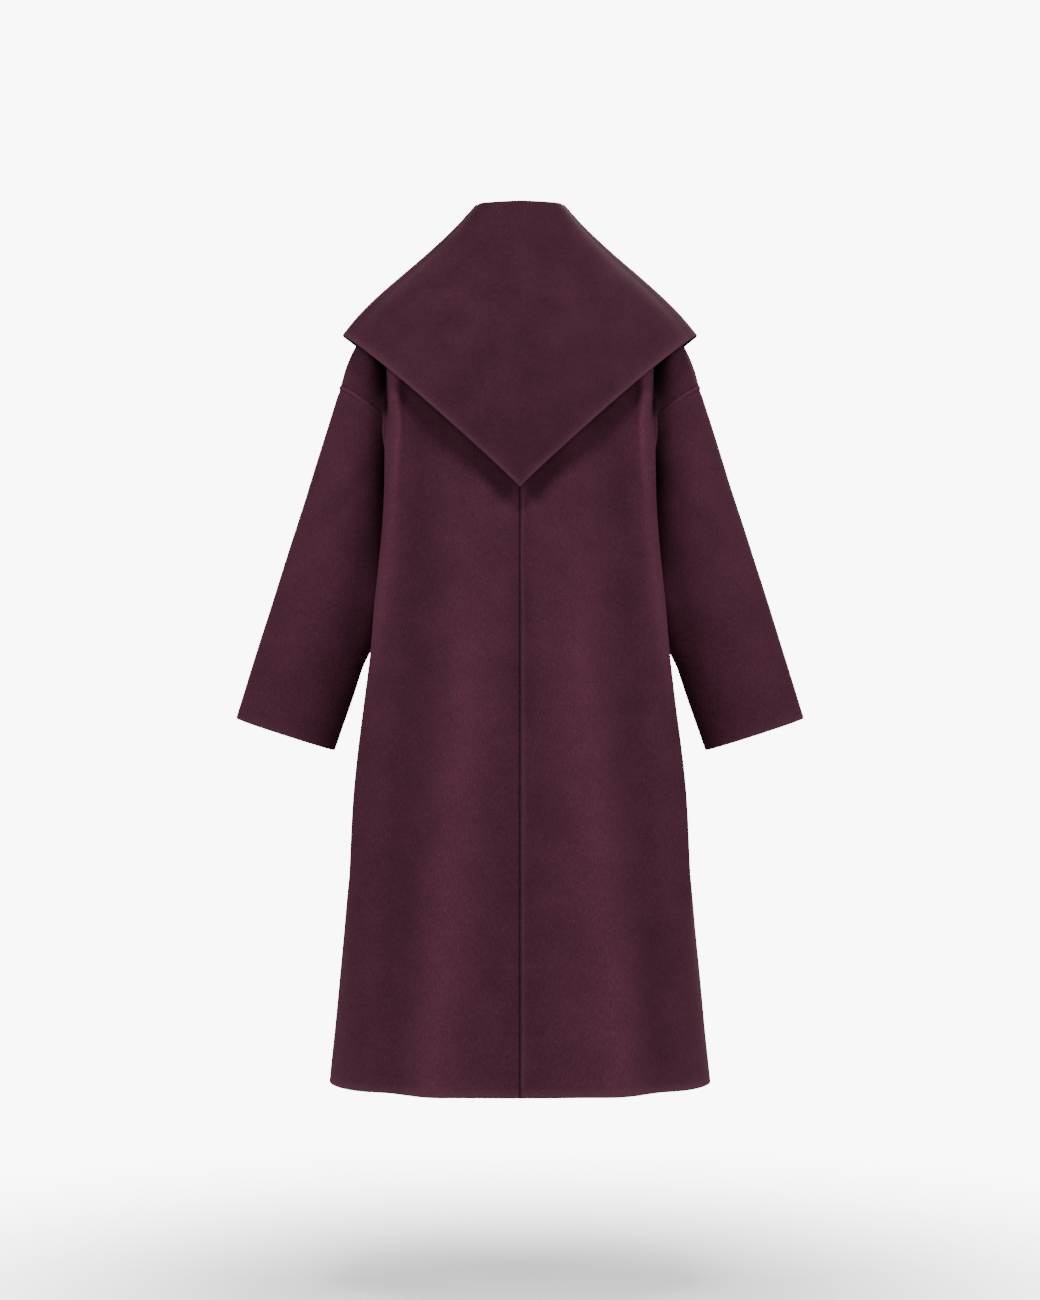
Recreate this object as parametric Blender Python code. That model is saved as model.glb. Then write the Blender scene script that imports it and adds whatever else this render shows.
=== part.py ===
"""Long double-breasted wool coat with a pointed cape collar, hollow as it is worn.

The wearer's left is +X, the front faces -Y, and the origin is the base of the neck.
Every panel is one wall of cloth around a middle surface that is worked out from a few
sections of the body, the armhole, the sleeve and the collar.
"""

from collections import namedtuple

import bmesh
import bpy
import numpy as np
from mathutils import Vector
from mathutils.bvhtree import BVHTree

# Sizes are millimetres up to the point where a mesh is made.
METRES_PER_MM = 0.001

# Cloth and seams
WALL = 2.4
SEAM_INSET = 0.2
COLLAR_INSET = 0.7
LAP_STEP = 2.6
LAP_CLEARANCE = WALL + 1.6
LAP_REACH = 30.0
CLEARING_PASSES = 4

# Grid of the panels
ROWS_SKIRT = 11
ROWS_WAIST = 2
ROWS_ARMHOLE = 10
COLUMNS_SHOULDER = 12
COLUMNS_NECK = 7
ROWS_SLEEVE = 11

# Heights
HEM_Z = -1121.0
BREAK_Z = -420.0
ARMPIT_Z = -345.0

# Horizontal sections of the body, from the hem up to the armpit
BodyRow = namedtuple("BodyRow", "z side_half fold_reach back_depth front_depth")
BODY = (
    BodyRow(HEM_Z, 256.0, 0.0, 174.0, 170.0),
    BodyRow(-960.0, 240.0, 6.0, 164.0, 160.0),
    BodyRow(-830.0, 228.0, 18.0, 157.0, 152.0),
    BodyRow(-700.0, 210.0, 29.0, 150.0, 146.0),
    BodyRow(-560.0, 189.0, 31.0, 144.0, 139.0),
    BodyRow(-450.0, 173.0, 36.0, 140.0, 133.0),
    BodyRow(ARMPIT_Z, 163.0, 37.0, 138.0, 128.0),
)
SECTION_ROUNDNESS = 2.3
EASED_BELOW = 3
EASED_ABOVE = 6
EASED_FROM = 4
EASING_PASSES = 8
FOLD_SHARE = 0.34

# Long soft ridges and hollows of the back, from under the collar to the hem
FoldRow = namedtuple("FoldRow", "side x_top x_hem z_top width_top width_hem rise_top rise_hem")
FOLDS = (
    FoldRow("left", 52.0, 116.0, -400.0, 27.0, 34.0, 5.0, 9.0),
    FoldRow("left", 127.0, 172.0, -380.0, 24.0, 30.0, -9.0, -13.0),
    FoldRow("right", 60.0, 132.0, -370.0, 27.0, 36.0, 6.0, 10.0),
    FoldRow("right", 125.0, 182.0, -380.0, 24.0, 28.0, -9.0, -12.0),
)
FOLD_FADE = 170.0
FOLD_MARGIN = 40.0

# Centre back line above the armpit
BackRow = namedtuple("BackRow", "z y")
CENTRE_BACK = (
    BackRow(ARMPIT_Z, 138.0),
    BackRow(-260.0, 134.0),
    BackRow(-180.0, 124.0),
    BackRow(-100.0, 106.0),
    BackRow(-40.0, 82.0),
    BackRow(0.0, 60.0),
)

# Neck, shoulder and armhole
NECK_HALF = 66.0
NECK_DEPTH = 60.0
NECK_SIDE_Z = 10.0
NECK_SHARE = 0.7
SHOULDER_TIP = (241.0, -4.0, -182.0)
SHOULDER_HANDLES = ((222.0, -4.0, -92.0), (130.0, -2.0, -15.0))
ARMHOLE_HALF_DEPTH = 66.0
ARMHOLE_BOW = 35.0

# Ways in which the rows of the upper panels leave the armhole and reach the centre, by climb
WayRow = namedtuple("WayRow", "climb x y z")
BACK_ARMHOLE_WAYS = (
    WayRow(0.0, 0.0, 230.0, 0.0),
    WayRow(0.25, 130.0, 200.0, -40.0),
    WayRow(0.5, 200.0, 160.0, 20.0),
    WayRow(0.75, -20.0, 120.0, 190.0),
    WayRow(1.0, -81.0, 0.0, 386.0),
)
FRONT_ARMHOLE_WAYS = (
    WayRow(0.0, 0.0, -230.0, 0.0),
    WayRow(0.25, 25.0, -190.0, -30.0),
    WayRow(0.5, 70.0, -150.0, 20.0),
    WayRow(0.75, -20.0, -90.0, 150.0),
    WayRow(1.0, -57.0, 0.0, 270.0),
)
CENTRE_BACK_WAYS = (
    WayRow(0.0, -250.0, 0.0, 0.0),
    WayRow(1.0, -280.0, 0.0, 0.0),
)
ROLL_WAYS = (
    WayRow(0.0, -220.0, 10.0, 0.0),
    WayRow(0.5, -190.0, 0.0, 10.0),
    WayRow(1.0, -192.0, 6.0, 75.0),
)

# Front edge of a panel: the straight edge and, above the break, the roll line of the collar
EdgeRow = namedtuple("EdgeRow", "z x y")
FRONT_EDGE = (
    EdgeRow(HEM_Z, -95.0, -160.0),
    EdgeRow(-700.0, -95.0, -140.0),
    EdgeRow(BREAK_Z, -95.0, -120.0),
    EdgeRow(ARMPIT_Z, -36.0, -126.0),
    EdgeRow(-290.0, 2.0, -124.0),
    EdgeRow(-180.0, 40.0, -104.0),
    EdgeRow(-100.0, 57.0, -79.0),
    EdgeRow(-40.0, 66.0, -46.0),
    EdgeRow(NECK_SIDE_Z, NECK_HALF, 0.0),
)
LAP_FULL_X = 112.0
LAP_NONE_X = 158.0
LAP_FULL_Z = -280.0
LAP_NONE_Z = -110.0

# Sleeve
CUFF_OUTER = (387.0, -46.0, -633.0)
CUFF_INNER = (254.0, -52.0, -676.0)
CUFF_HALF_DEPTH = 50.0
SLEEVE_INNER_BOW = 11.0
ARMHOLE_STEP = WALL + 1.8
ARMHOLE_STEP_START = 0.3
ARMHOLE_STEP_FULL = 1.6
ARMHOLE_GAP = 0.35
SLEEVE_CLEARANCE = WALL + 1.4
SLEEVE_REACH = 12.0
SLEEVE_CLEARED_ROWS = 7
SLEEVE_CLEARED_FROM = 1.1

# Collar
COLLAR_STAND_ROWS = 3
COLLAR_ROLL_ROWS = 5
COLLAR_FALL_ROWS = 8
COLLAR_SKIPPED_LEFT = 3
COLLAR_TIP = (0.0, 150.0, -320.0)
COLLAR_BACK_HANDLE = (190.0, 150.0, -150.0)
COLLAR_CORNER = (239.0, -4.0, -116.0)
COLLAR_FRONT_HANDLES = {"left": (184.0, -130.0, -152.0), "right": (140.0, -140.0, -188.0)}
COLLAR_BULGE = 18.0
COLLAR_BULGE_START = 0.35
COLLAR_CLEARANCE = 8.5
COLLAR_REACH = 100.0
COLLAR_END_WIDTH = 16.0
COLLAR_FRONT_START = 1.0
COLLAR_FRONT_FULL = 1.7
COLLAR_BULGE_LAST = 1.4
COLLAR_LAST = 2.0
StandRow = namedtuple("StandRow", "station stand lean roll")
COLLAR_STAND = (
    StandRow(0.0, 57.0, 0.12, 6.5),
    StandRow(1.0, 44.0, 0.36, 6.0),
    StandRow(1.3, 34.0, 0.36, 6.0),
    StandRow(1.6, 18.0, 0.36, 5.5),
    StandRow(COLLAR_LAST, 4.0, 0.36, 4.0),
)

# Buttons
BUTTON_RADIUS = 14.0
BUTTON_THICKNESS = 4.0
BUTTON_EDGE = 1.3
BUTTON_SIDES = 20
BUTTON_SEAT = 0.4
BUTTON_SEAT_RINGS = (0.33, 0.66, 1.0)
BUTTON_X = {"inner": -62.0, "outer": 62.0}
BUTTON_Z = (-468.0, -584.0, -700.0)
BEFORE_FRONT_Y = -400.0

# Colours, linear, and how matt they are
WOOL_COLOUR = (0.063, 0.018, 0.033, 1.0)
WOOL_ROUGHNESS = 0.9
BUTTON_COLOUR = (0.020, 0.008, 0.012, 1.0)
BUTTON_ROUGHNESS = 0.4

X, Y, Z = 0, 1, 2
SMALLEST = 1e-9
SAME_PLACE = 0.001
SIGN = {"left": 1.0, "right": -1.0}


def smooth(low, high, value):
    """Ease from 0 at low to 1 at high."""
    share = np.clip((value - low) / (high - low), 0.0, 1.0)
    return share * share * (3.0 - 2.0 * share)


def read(rows, key, name, at):
    """Smooth curve, with no overshoot, through one column of a table, read along another column."""
    knots = np.array([getattr(row, key) for row in rows])
    values = np.array([getattr(row, name) for row in rows])
    secants = np.diff(values) / np.diff(knots)
    before, after = secants[:-1], secants[1:]
    mean = 2.0 * before * after / np.where(before * after > 0.0, before + after, 1.0)
    inner = np.where(before * after > 0.0, mean, 0.0)
    slopes = np.concatenate((secants[:1], inner, secants[-1:]))
    at = np.clip(at, knots[0], knots[-1])
    low = np.clip(np.searchsorted(knots, at, side="right") - 1, 0, len(knots) - 2)
    span = knots[low + 1] - knots[low]
    share = (at - knots[low]) / span
    rest = 1.0 - share
    return (rest ** 2 * (1.0 + 2.0 * share) * values[low]
            + share ** 2 * (3.0 - 2.0 * share) * values[low + 1]
            + share * rest * span * (rest * slopes[low] - share * slopes[low + 1]))


def points(x, y, z):
    """Stack coordinates, spread to one shape, into points."""
    return np.stack(np.broadcast_arrays(x, y, z), axis=-1).astype(float)


def power(value):
    """Signed power that squares off a round section a little."""
    return np.sign(value) * np.abs(value) ** (2.0 / SECTION_ROUNDNESS)


def unit(vectors):
    """Vectors scaled to length one."""
    return vectors / np.maximum(np.linalg.norm(vectors, axis=-1, keepdims=True), SMALLEST)


def bezier(ends, share):
    """Bezier curve through its first and last control points."""
    share = np.asarray(share, dtype=float)[..., None]
    layers = [np.array(end) for end in ends]
    while len(layers) > 1:
        layers = [a + (b - a) * share for a, b in zip(layers, layers[1:])]
    return layers[0]


def fold_bump(u):
    """Hump that is highest where the back turns forward under the arm."""
    from_side = np.sin(np.pi / 2.0 * np.minimum(u / FOLD_SHARE, 1.0)) ** 4
    from_centre = np.sin(np.pi / 2.0 * np.minimum((1.0 - u) / (1.0 - FOLD_SHARE), 1.0)) ** 2
    return from_side * from_centre


def back_section(z, u):
    """Lower back: u runs from the side seam at 0 to the centre back at 1."""
    turn = u * np.pi / 2.0
    side_half = read(BODY, "z", "side_half", z)
    x = side_half * power(np.cos(turn)) + read(BODY, "z", "fold_reach", z) * fold_bump(u)
    y = read(BODY, "z", "back_depth", z) * power(np.sin(turn))
    return points(np.where(u >= 1.0, 0.0, x), y, z)


def front_section(z, u):
    """Lower front: u runs from the side seam at 0 to the front edge, past the centre, at 1."""
    side_half = read(BODY, "z", "side_half", z)
    edge = read(FRONT_EDGE, "z", "x", z) / side_half
    last_turn = np.arccos(np.sign(edge) * np.abs(edge) ** (SECTION_ROUNDNESS / 2.0))
    turn = u * last_turn
    y = -read(BODY, "z", "front_depth", z) * power(np.sin(turn))
    return points(side_half * power(np.cos(turn)), y, z)


def armhole_bow(angle):
    """How far the armhole bends in towards the body, most of it above its middle."""
    return ARMHOLE_BOW * np.sin(angle) ** 2 * (1.0 + np.cos(angle) / 2.0)


def armhole(angle):
    """Armhole: angle 0 at the shoulder tip, a quarter turn at the back, a half turn at the armpit."""
    top = np.array(SHOULDER_TIP)
    low = np.array((BODY[-1].side_half, 0.0, ARMPIT_Z))
    centre = (top + low) / 2.0
    ring = centre + (top - low) / 2.0 * np.cos(angle)[..., None]
    ring[..., Y] += ARMHOLE_HALF_DEPTH * np.sin(angle)
    ring[..., X] -= armhole_bow(angle)
    return ring


def shoulder(share):
    """Shoulder seam from the tip to the side of the neck."""
    return bezier((SHOULDER_TIP,) + SHOULDER_HANDLES + ((NECK_HALF, 0.0, NECK_SIDE_Z),), share)


def back_neck(share):
    """Neck edge of the back from the side of the neck to the centre."""
    turn = np.asarray(share) * np.pi / 2.0
    x = np.where(turn >= np.pi / 2.0, 0.0, NECK_HALF * np.cos(turn))
    return points(x, NECK_DEPTH * np.sin(turn), NECK_SIDE_Z * (1.0 - np.sin(turn)))


def back_top(u):
    """Upper edge of the back: the shoulder seam, then the neck."""
    on_neck = (np.maximum(u, NECK_SHARE) - NECK_SHARE) / (1.0 - NECK_SHARE)
    on_shoulder = np.minimum(u, NECK_SHARE) / NECK_SHARE
    return np.where((u > NECK_SHARE)[..., None], back_neck(on_neck), shoulder(on_shoulder))


def centre_back(v):
    """Centre back line from the armpit's height to the neck."""
    z = ARMPIT_Z * (1.0 - v)
    return points(0.0, read(CENTRE_BACK, "z", "y", z), z)


def roll_line(v):
    """Front edge from the armpit's height to the side of the neck."""
    z = ARMPIT_Z + (NECK_SIDE_Z - ARMPIT_Z) * v
    line = points(read(FRONT_EDGE, "z", "x", z), read(FRONT_EDGE, "z", "y", z), z)
    start = front_section(np.array(ARMPIT_Z), np.array(1.0))
    first = points(read(FRONT_EDGE, "z", "x", ARMPIT_Z), read(FRONT_EDGE, "z", "y", ARMPIT_Z), ARMPIT_Z)
    return line + (start - first) * ((1.0 - v) ** 3)[..., None]


def hermite(start, start_way, end, end_way, share):
    """Curve that leaves its start and reaches its end along the given ways."""
    rest = 1.0 - share
    return (start * rest ** 2 * (1.0 + 2.0 * share) + start_way * share * rest ** 2
            + end * share ** 2 * (3.0 - 2.0 * share) - end_way * share ** 2 * rest)


def spanned(low, high, across, u, v):
    """Rows of curves across a panel, drawn to its lower and upper edges where they come near them."""
    shares, climbs = u[..., None], v[..., None]
    rows = hermite(*across(v), shares)
    at_low = hermite(*across(np.zeros_like(v)), shares)
    at_high = hermite(*across(np.ones_like(v)), shares)
    return rows + (low - at_low) * (1.0 - climbs) ** 2 + (high - at_high) * climbs ** 2


def way_at(rows, v):
    """Direction in which a panel's rows leave an edge, read from a table."""
    return points(*(read(rows, "climb", axis, v) for axis in ("x", "y", "z")))


def upper_back(u, v):
    """Back between the armpit and the shoulder seam, on a grid of u along and v up."""
    def across(climb):
        start = armhole(np.pi * (1.0 - climb))
        return start, way_at(BACK_ARMHOLE_WAYS, climb), centre_back(climb), way_at(CENTRE_BACK_WAYS, climb)
    return spanned(back_section(np.full(u.shape, ARMPIT_Z), u), back_top(u), across, u, v)


def upper_front(u, v):
    """Front between the armpit and the shoulder seam."""
    def across(climb):
        start = armhole(np.pi * (climb - 1.0))
        return start, way_at(FRONT_ARMHOLE_WAYS, climb), roll_line(climb), way_at(ROLL_WAYS, climb)
    return spanned(front_section(np.full(u.shape, ARMPIT_Z), u), shoulder(u), across, u, v)


def grid_shares(columns):
    """Grid of u shares, and of rows: heights up to the armpit, then shares of the armhole."""
    skirt = np.linspace(HEM_Z, BREAK_Z, ROWS_SKIRT + 1)
    waist = np.linspace(BREAK_Z, ARMPIT_Z, ROWS_WAIST + 1)
    heights = np.concatenate((skirt, waist[1:-1]))
    climbs = np.linspace(0.0, 1.0, ROWS_ARMHOLE + 1)
    low_z, low_u = np.meshgrid(heights, columns, indexing="ij")
    high_v, high_u = np.meshgrid(climbs, columns, indexing="ij")
    return low_z, low_u, high_v, high_u


def relaxed(surface, last):
    """Panel eased up and down around the armpit's height, away from the side and up to the column named."""
    middle = ROWS_SKIRT + ROWS_WAIST
    low, high = middle - EASED_BELOW, middle + EASED_ABOVE
    eased = surface.copy()
    for _ in range(EASING_PASSES):
        mean = (eased[low - 1:high - 1, EASED_FROM:last] + eased[low + 1:high + 1, EASED_FROM:last]) / 2.0
        eased[low:high, EASED_FROM:last] += (mean - eased[low:high, EASED_FROM:last]) / 2.0
    return eased


def drape(surface, side):
    """Long folds of the back, moved out or in from its centre line."""
    for fold in FOLDS:
        if fold.side != side:
            continue
        down = np.clip((fold.z_top - surface[..., Z]) / (fold.z_top - HEM_Z), 0.0, 1.0)
        centre = fold.x_top + (fold.x_hem - fold.x_top) * down
        width = fold.width_top + (fold.width_hem - fold.width_top) * down
        rise = fold.rise_top + (fold.rise_hem - fold.rise_top) * down
        fade = smooth(fold.z_top + FOLD_FADE, fold.z_top, surface[..., Z])
        shape = np.exp(-((surface[..., X] - centre) / width) ** 2)
        inside = smooth(0.0, FOLD_MARGIN, surface[..., X]) * smooth(0.0, FOLD_MARGIN, surface[..., Y])
        surface[..., Y] += rise * fade * shape * inside
    return surface


def back_panel(side):
    """Middle surface of one back panel: rows from hem to shoulder, columns from side to centre."""
    on_shoulder = np.linspace(0.0, NECK_SHARE, COLUMNS_SHOULDER + 1)
    on_neck = np.linspace(NECK_SHARE, 1.0, COLUMNS_NECK + 1)
    low_z, low_u, high_v, high_u = grid_shares(np.concatenate((on_shoulder, on_neck[1:])))
    surface = np.concatenate((back_section(low_z, low_u), upper_back(high_u, high_v)))
    surface = relaxed(surface, surface.shape[1] - 1)
    surface = drape(surface, side)
    surface[..., X] *= SIGN[side]
    return surface


def front_panel(side):
    """Middle surface of one front panel; the right one steps out over the left one."""
    columns = np.linspace(0.0, 1.0, COLUMNS_SHOULDER + 1)
    low_z, low_u, high_v, high_u = grid_shares(columns)
    surface = np.concatenate((front_section(low_z, low_u), upper_front(high_u, high_v)))
    surface = relaxed(surface, surface.shape[1])
    lapped = smooth(LAP_NONE_X, LAP_FULL_X, surface[..., X])
    lapped = lapped * smooth(LAP_NONE_Z, LAP_FULL_Z, surface[..., Z])
    surface[..., Y] += SIGN[side] * LAP_STEP * lapped
    surface[..., X] *= SIGN[side]
    return surface


def ring_angles():
    """Angles of the armhole's points: from the armpit over the back to the shoulder, then down the front."""
    half = np.linspace(np.pi, 0.0, ROWS_ARMHOLE + 1)
    return np.concatenate((half, -half[::-1][1:-1]))


def sleeve_tube(side, ring, ring_normals):
    """Middle surface of one sleeve: rings from the armhole to the cuff, columns around."""
    around = ring.shape[0]
    angle = ring_angles()
    outer, inner = np.array(CUFF_OUTER), np.array(CUFF_INNER)
    cuff = (outer + inner) / 2.0 + (outer - inner) / 2.0 * np.cos(angle)[:, None]
    cuff[:, Y] += CUFF_HALF_DEPTH * np.sin(angle)
    step = ARMHOLE_STEP * smooth(ARMHOLE_STEP_START, ARMHOLE_STEP_FULL, np.abs(angle))
    start = ring + ring_normals * step[:, None]
    bow = armhole_bow(angle)
    start[:, X] += bow
    length = np.linalg.norm(cuff - start, axis=1).mean()
    rows = []
    for share in np.linspace(ARMHOLE_GAP / length, 1.0, ROWS_SLEEVE + 1):
        row = start + (cuff - start) * share
        row[:, X] -= bow * (1.0 - share) ** 3
        inward = np.clip(-np.cos(angle), 0.0, 1.0)
        row[:, X] -= SLEEVE_INNER_BOW * inward * np.sin(np.pi * share)
        rows.append(row)
    tube = np.array(rows).reshape(ROWS_SLEEVE + 1, around, 3)
    tube[..., X] *= SIGN[side]
    return tube


def clear_sleeve(tube, tree):
    """Sleeve with the upper rows of its inner side lifted clear of the body."""
    inner = np.flatnonzero(np.abs(ring_angles()) > SLEEVE_CLEARED_FROM)
    near = tube[:SLEEVE_CLEARED_ROWS, inner]
    tube[:SLEEVE_CLEARED_ROWS, inner] = cleared(near, tree, SLEEVE_CLEARANCE, SLEEVE_REACH)
    return tube


def faces_of(rows, columns, closed):
    """Index quads of a grid; a closed grid joins its last column to its first."""
    quads = []
    last = columns if closed else columns - 1
    for row in range(rows - 1):
        for column in range(last):
            after = (column + 1) % columns
            quads.append((row * columns + column, row * columns + after,
                          (row + 1) * columns + after, (row + 1) * columns + column))
    return quads


def key_of(point):
    """Rounded place, the same for the points that two panels share at a seam."""
    return tuple(int(round(value / SAME_PLACE)) for value in point)


def add_normals(total, surface, closed, flip):
    """Add a panel's face normals to the sum kept for each place."""
    flat = surface.reshape(-1, 3)
    for quad in faces_of(surface.shape[0], surface.shape[1], closed):
        a, b, c, d = (flat[index] for index in quad)
        normal = np.cross(c - a, d - b) * flip
        for index in quad:
            key = key_of(flat[index])
            total[key] = total.get(key, 0.0) + normal


def normals_of(total, surface):
    """Unit normals of a panel's points, read from the sums."""
    flat = [total[key_of(point)] for point in surface.reshape(-1, 3)]
    return unit(np.array(flat)).reshape(surface.shape)


def inset_edges(surface, edges, inset):
    """Draw the sewn edges back into the panel, so that it ends just short of its neighbour."""
    moved = surface.copy()
    for edge in edges:
        outer, inner = {"first_row": (np.s_[0], np.s_[1]), "last_row": (np.s_[-1], np.s_[-2]),
                        "first_column": (np.s_[:, 0], np.s_[:, 1]),
                        "last_column": (np.s_[:, -1], np.s_[:, -2])}[edge]
        moved[outer] += unit(surface[inner] - surface[outer]) * inset
    return moved


def make_object(name, vertices, faces, material):
    """One closed solid in metres, with its faces turned out."""
    mesh = bpy.data.meshes.new(name)
    mesh.from_pydata([Vector(vertex) * METRES_PER_MM for vertex in vertices], [], faces)
    solid = bmesh.new()
    solid.from_mesh(mesh)
    bmesh.ops.recalc_face_normals(solid, faces=solid.faces)
    solid.to_mesh(mesh)
    solid.free()
    mesh.materials.append(material)
    item = bpy.data.objects.new(name, mesh)
    bpy.context.scene.collection.objects.link(item)
    return item


def make_wall(name, surface, normals, closed, material):
    """Wall of cloth: the middle surface moved out and in by half a wall, closed around its rims."""
    rows, columns = surface.shape[:2]
    count = rows * columns
    outer = (surface + normals * WALL / 2.0).reshape(-1, 3)
    inner = (surface - normals * WALL / 2.0).reshape(-1, 3)
    quads = faces_of(rows, columns, closed)
    faces = list(quads)
    faces += [tuple(count + index for index in reversed(quad)) for quad in quads]
    rims = [list(range(columns)), list(range(count - columns, count))]
    if closed:
        rims = [rim + rim[:1] for rim in rims]
    else:
        rims.append([row * columns for row in range(rows)])
        rims.append([row * columns + columns - 1 for row in range(rows)])
    for rim in rims:
        faces += [(a, b, count + b, count + a) for a, b in zip(rim, rim[1:])]
    return make_object(name, np.concatenate((outer, inner)), faces, material)


def collar_columns(side, back, front, total):
    """Neck points of one half from the centre back to the front end, with station, run and outward way."""
    neck = back[-1, COLUMNS_SHOULDER:][::-1]
    neck_station = np.linspace(0.0, 1.0, COLUMNS_NECK + 1)
    skipped = COLLAR_SKIPPED_LEFT if side == "left" else -ROWS_WAIST
    first_row = ROWS_SKIRT + ROWS_WAIST + skipped
    edge = front[first_row:-1, -1][::-1]
    inside = front[first_row:-1, -2][::-1]
    edge_station = 1.0 + np.linspace(0.0, 1.0, len(edge) + 1)[1:]
    place = np.concatenate((neck, edge))
    station = np.concatenate((neck_station, edge_station))
    run = np.concatenate((np.zeros_like(neck), unit(edge - inside)))
    return place, station, run, normals_of(total, place)


def collar_edge(side, station, end):
    """Outer edge of the collar: from its tip over the shoulder to the front end."""
    flip = np.array((SIGN[side], 1.0, 1.0))
    if station <= 1.0:
        return bezier((COLLAR_TIP, COLLAR_BACK_HANDLE, COLLAR_CORNER), station) * flip
    last = end * flip
    return bezier((COLLAR_CORNER, COLLAR_FRONT_HANDLES[side], last), station - 1.0) * flip


def collar_column(neck, station, run, way, edge):
    """One strip of the collar: up the stand, over the roll and down the fall to the outer edge."""
    stand = read(COLLAR_STAND, "station", "stand", station)
    lean = read(COLLAR_STAND, "station", "lean", station)
    roll = read(COLLAR_STAND, "station", "roll", station)
    on_front = smooth(COLLAR_FRONT_START, COLLAR_FRONT_FULL, station)
    upright = unit(np.array((-lean * neck[X] / NECK_HALF, -lean * neck[Y] / NECK_DEPTH, 1.0)))
    rise = unit(upright + (run - upright) * on_front)
    top = neck + rise * stand
    out = unit(edge - top)
    out = out + (way - out) * on_front
    out = unit(out - rise * np.dot(out, rise))
    centre = top + out * roll
    fall = unit(edge - centre)
    sweep = np.arccos(np.clip(np.dot(fall, rise), -1.0, 1.0))
    strip = [neck + rise * stand * share for share in np.linspace(0.0, 1.0, COLLAR_STAND_ROWS + 1)]
    for turn in np.linspace(0.0, sweep, COLLAR_ROLL_ROWS + 1)[1:]:
        strip.append(centre - out * roll * np.cos(turn) + rise * roll * np.sin(turn))
    start = strip[-1]
    bulge_way = unit(np.cross(np.cross(fall, rise), fall))
    for share in np.linspace(0.0, 1.0, COLLAR_FALL_ROWS + 1)[1:]:
        hump = (share - COLLAR_BULGE_START) * np.sin(np.pi * share)
        bulge = COLLAR_BULGE * hump * smooth(COLLAR_LAST, COLLAR_BULGE_LAST, station)
        strip.append(start + (edge - start) * share + bulge_way * bulge)
    return np.array(strip)


def collar_surface(panels, total, tree, left_tree):
    """Middle surface of the collar: columns from the left front end round the neck to the right end."""
    halves = {}
    for side in SIGN:
        columns = collar_columns(side, panels["back_" + side], panels["front_" + side], total)
        last_place, _, last_run, last_way = (column[-1] for column in columns)
        end = last_place - last_run * COLLAR_END_WIDTH + last_way * COLLAR_CLEARANCE
        strips = [collar_column(place, station, run, way, collar_edge(side, station, end))
                  for place, station, run, way in zip(*columns)]
        halves[side] = np.array(strips)
    first_fall = COLLAR_STAND_ROWS + COLLAR_ROLL_ROWS + 1
    rolled = cleared(halves["right"][:, 1:first_fall], left_tree, LAP_CLEARANCE, LAP_REACH)
    halves["right"][:, 1:first_fall] = rolled
    surface = np.concatenate((halves["left"][::-1], halves["right"][1:])).transpose(1, 0, 2)
    fall = cleared(surface[first_fall:], tree, COLLAR_CLEARANCE, COLLAR_REACH)
    return np.concatenate((surface[:first_fall], fall))


def cleared(surface, tree, clearance, reach):
    """Surface with the points that lie over another one, no further off its edge than reach, lifted clear."""
    lifted = surface.copy()
    for index in np.ndindex(surface.shape[:2]):
        point = Vector(surface[index])
        for _ in range(CLEARING_PASSES):
            place, normal, _, _ = tree.find_nearest(point)
            height = (point - place).dot(normal)
            aside = (point - place - normal * height).length
            if height >= clearance or aside > reach:
                break
            point += normal * (clearance - height)
        lifted[index] = point
    return lifted


def shell_tree(surfaces):
    """Search tree over middle surfaces, with their outward normals."""
    vertices, faces = [], []
    for surface, closed, flip in surfaces:
        start = len(vertices)
        vertices += [Vector(point) for point in surface.reshape(-1, 3)]
        for quad in faces_of(surface.shape[0], surface.shape[1], closed):
            order = quad if flip > 0 else tuple(reversed(quad))
            faces.append([start + index for index in order])
    return BVHTree.FromPolygons(vertices, faces)


def make_button(name, x, z, tree, material):
    """Plain round button, lying on the right front."""
    place, normal, _, _ = tree.ray_cast(Vector((x, BEFORE_FRONT_Y, z)), Vector((0.0, 1.0, 0.0)))
    way = Vector(normal)
    turn = way.to_track_quat("Z", "Y")
    angles = np.linspace(0.0, 2.0 * np.pi, BUTTON_SIDES, endpoint=False)
    lift = 0.0
    for angle in angles:
        for share in BUTTON_SEAT_RINGS:
            spot = Vector((np.cos(angle), np.sin(angle), 0.0)) * BUTTON_RADIUS * share
            above = place + turn @ spot + way * BUTTON_RADIUS
            under, _, _, _ = tree.ray_cast(above, -way)
            lift = max(lift, (under - place).dot(way))
    base = place + way * (WALL / 2.0 + BUTTON_SEAT + lift)
    profile = ((BUTTON_RADIUS - BUTTON_EDGE, 0.0), (BUTTON_RADIUS, BUTTON_EDGE),
               (BUTTON_RADIUS, BUTTON_THICKNESS - BUTTON_EDGE),
               (BUTTON_RADIUS - BUTTON_EDGE, BUTTON_THICKNESS))
    vertices = [base + turn @ Vector((radius * np.cos(angle), radius * np.sin(angle), height))
                for radius, height in profile for angle in angles]
    faces = faces_of(len(profile), BUTTON_SIDES, True)
    faces.append(tuple(range(BUTTON_SIDES)))
    faces.append(tuple(range(BUTTON_SIDES * (len(profile) - 1), BUTTON_SIDES * len(profile))))
    return make_object(name, vertices, faces, material)


def make_material(name, colour, roughness):
    """Plain finish of one piece."""
    material = bpy.data.materials.new(name)
    material.use_nodes = True
    shader = material.node_tree.nodes["Principled BSDF"]
    shader.inputs["Base Color"].default_value = colour
    shader.inputs["Roughness"].default_value = roughness
    shader.inputs["Metallic"].default_value = 0.0
    return material


def clear_scene():
    """Start from an empty scene."""
    for item in list(bpy.data.objects):
        bpy.data.objects.remove(item, do_unlink=True)


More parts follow.
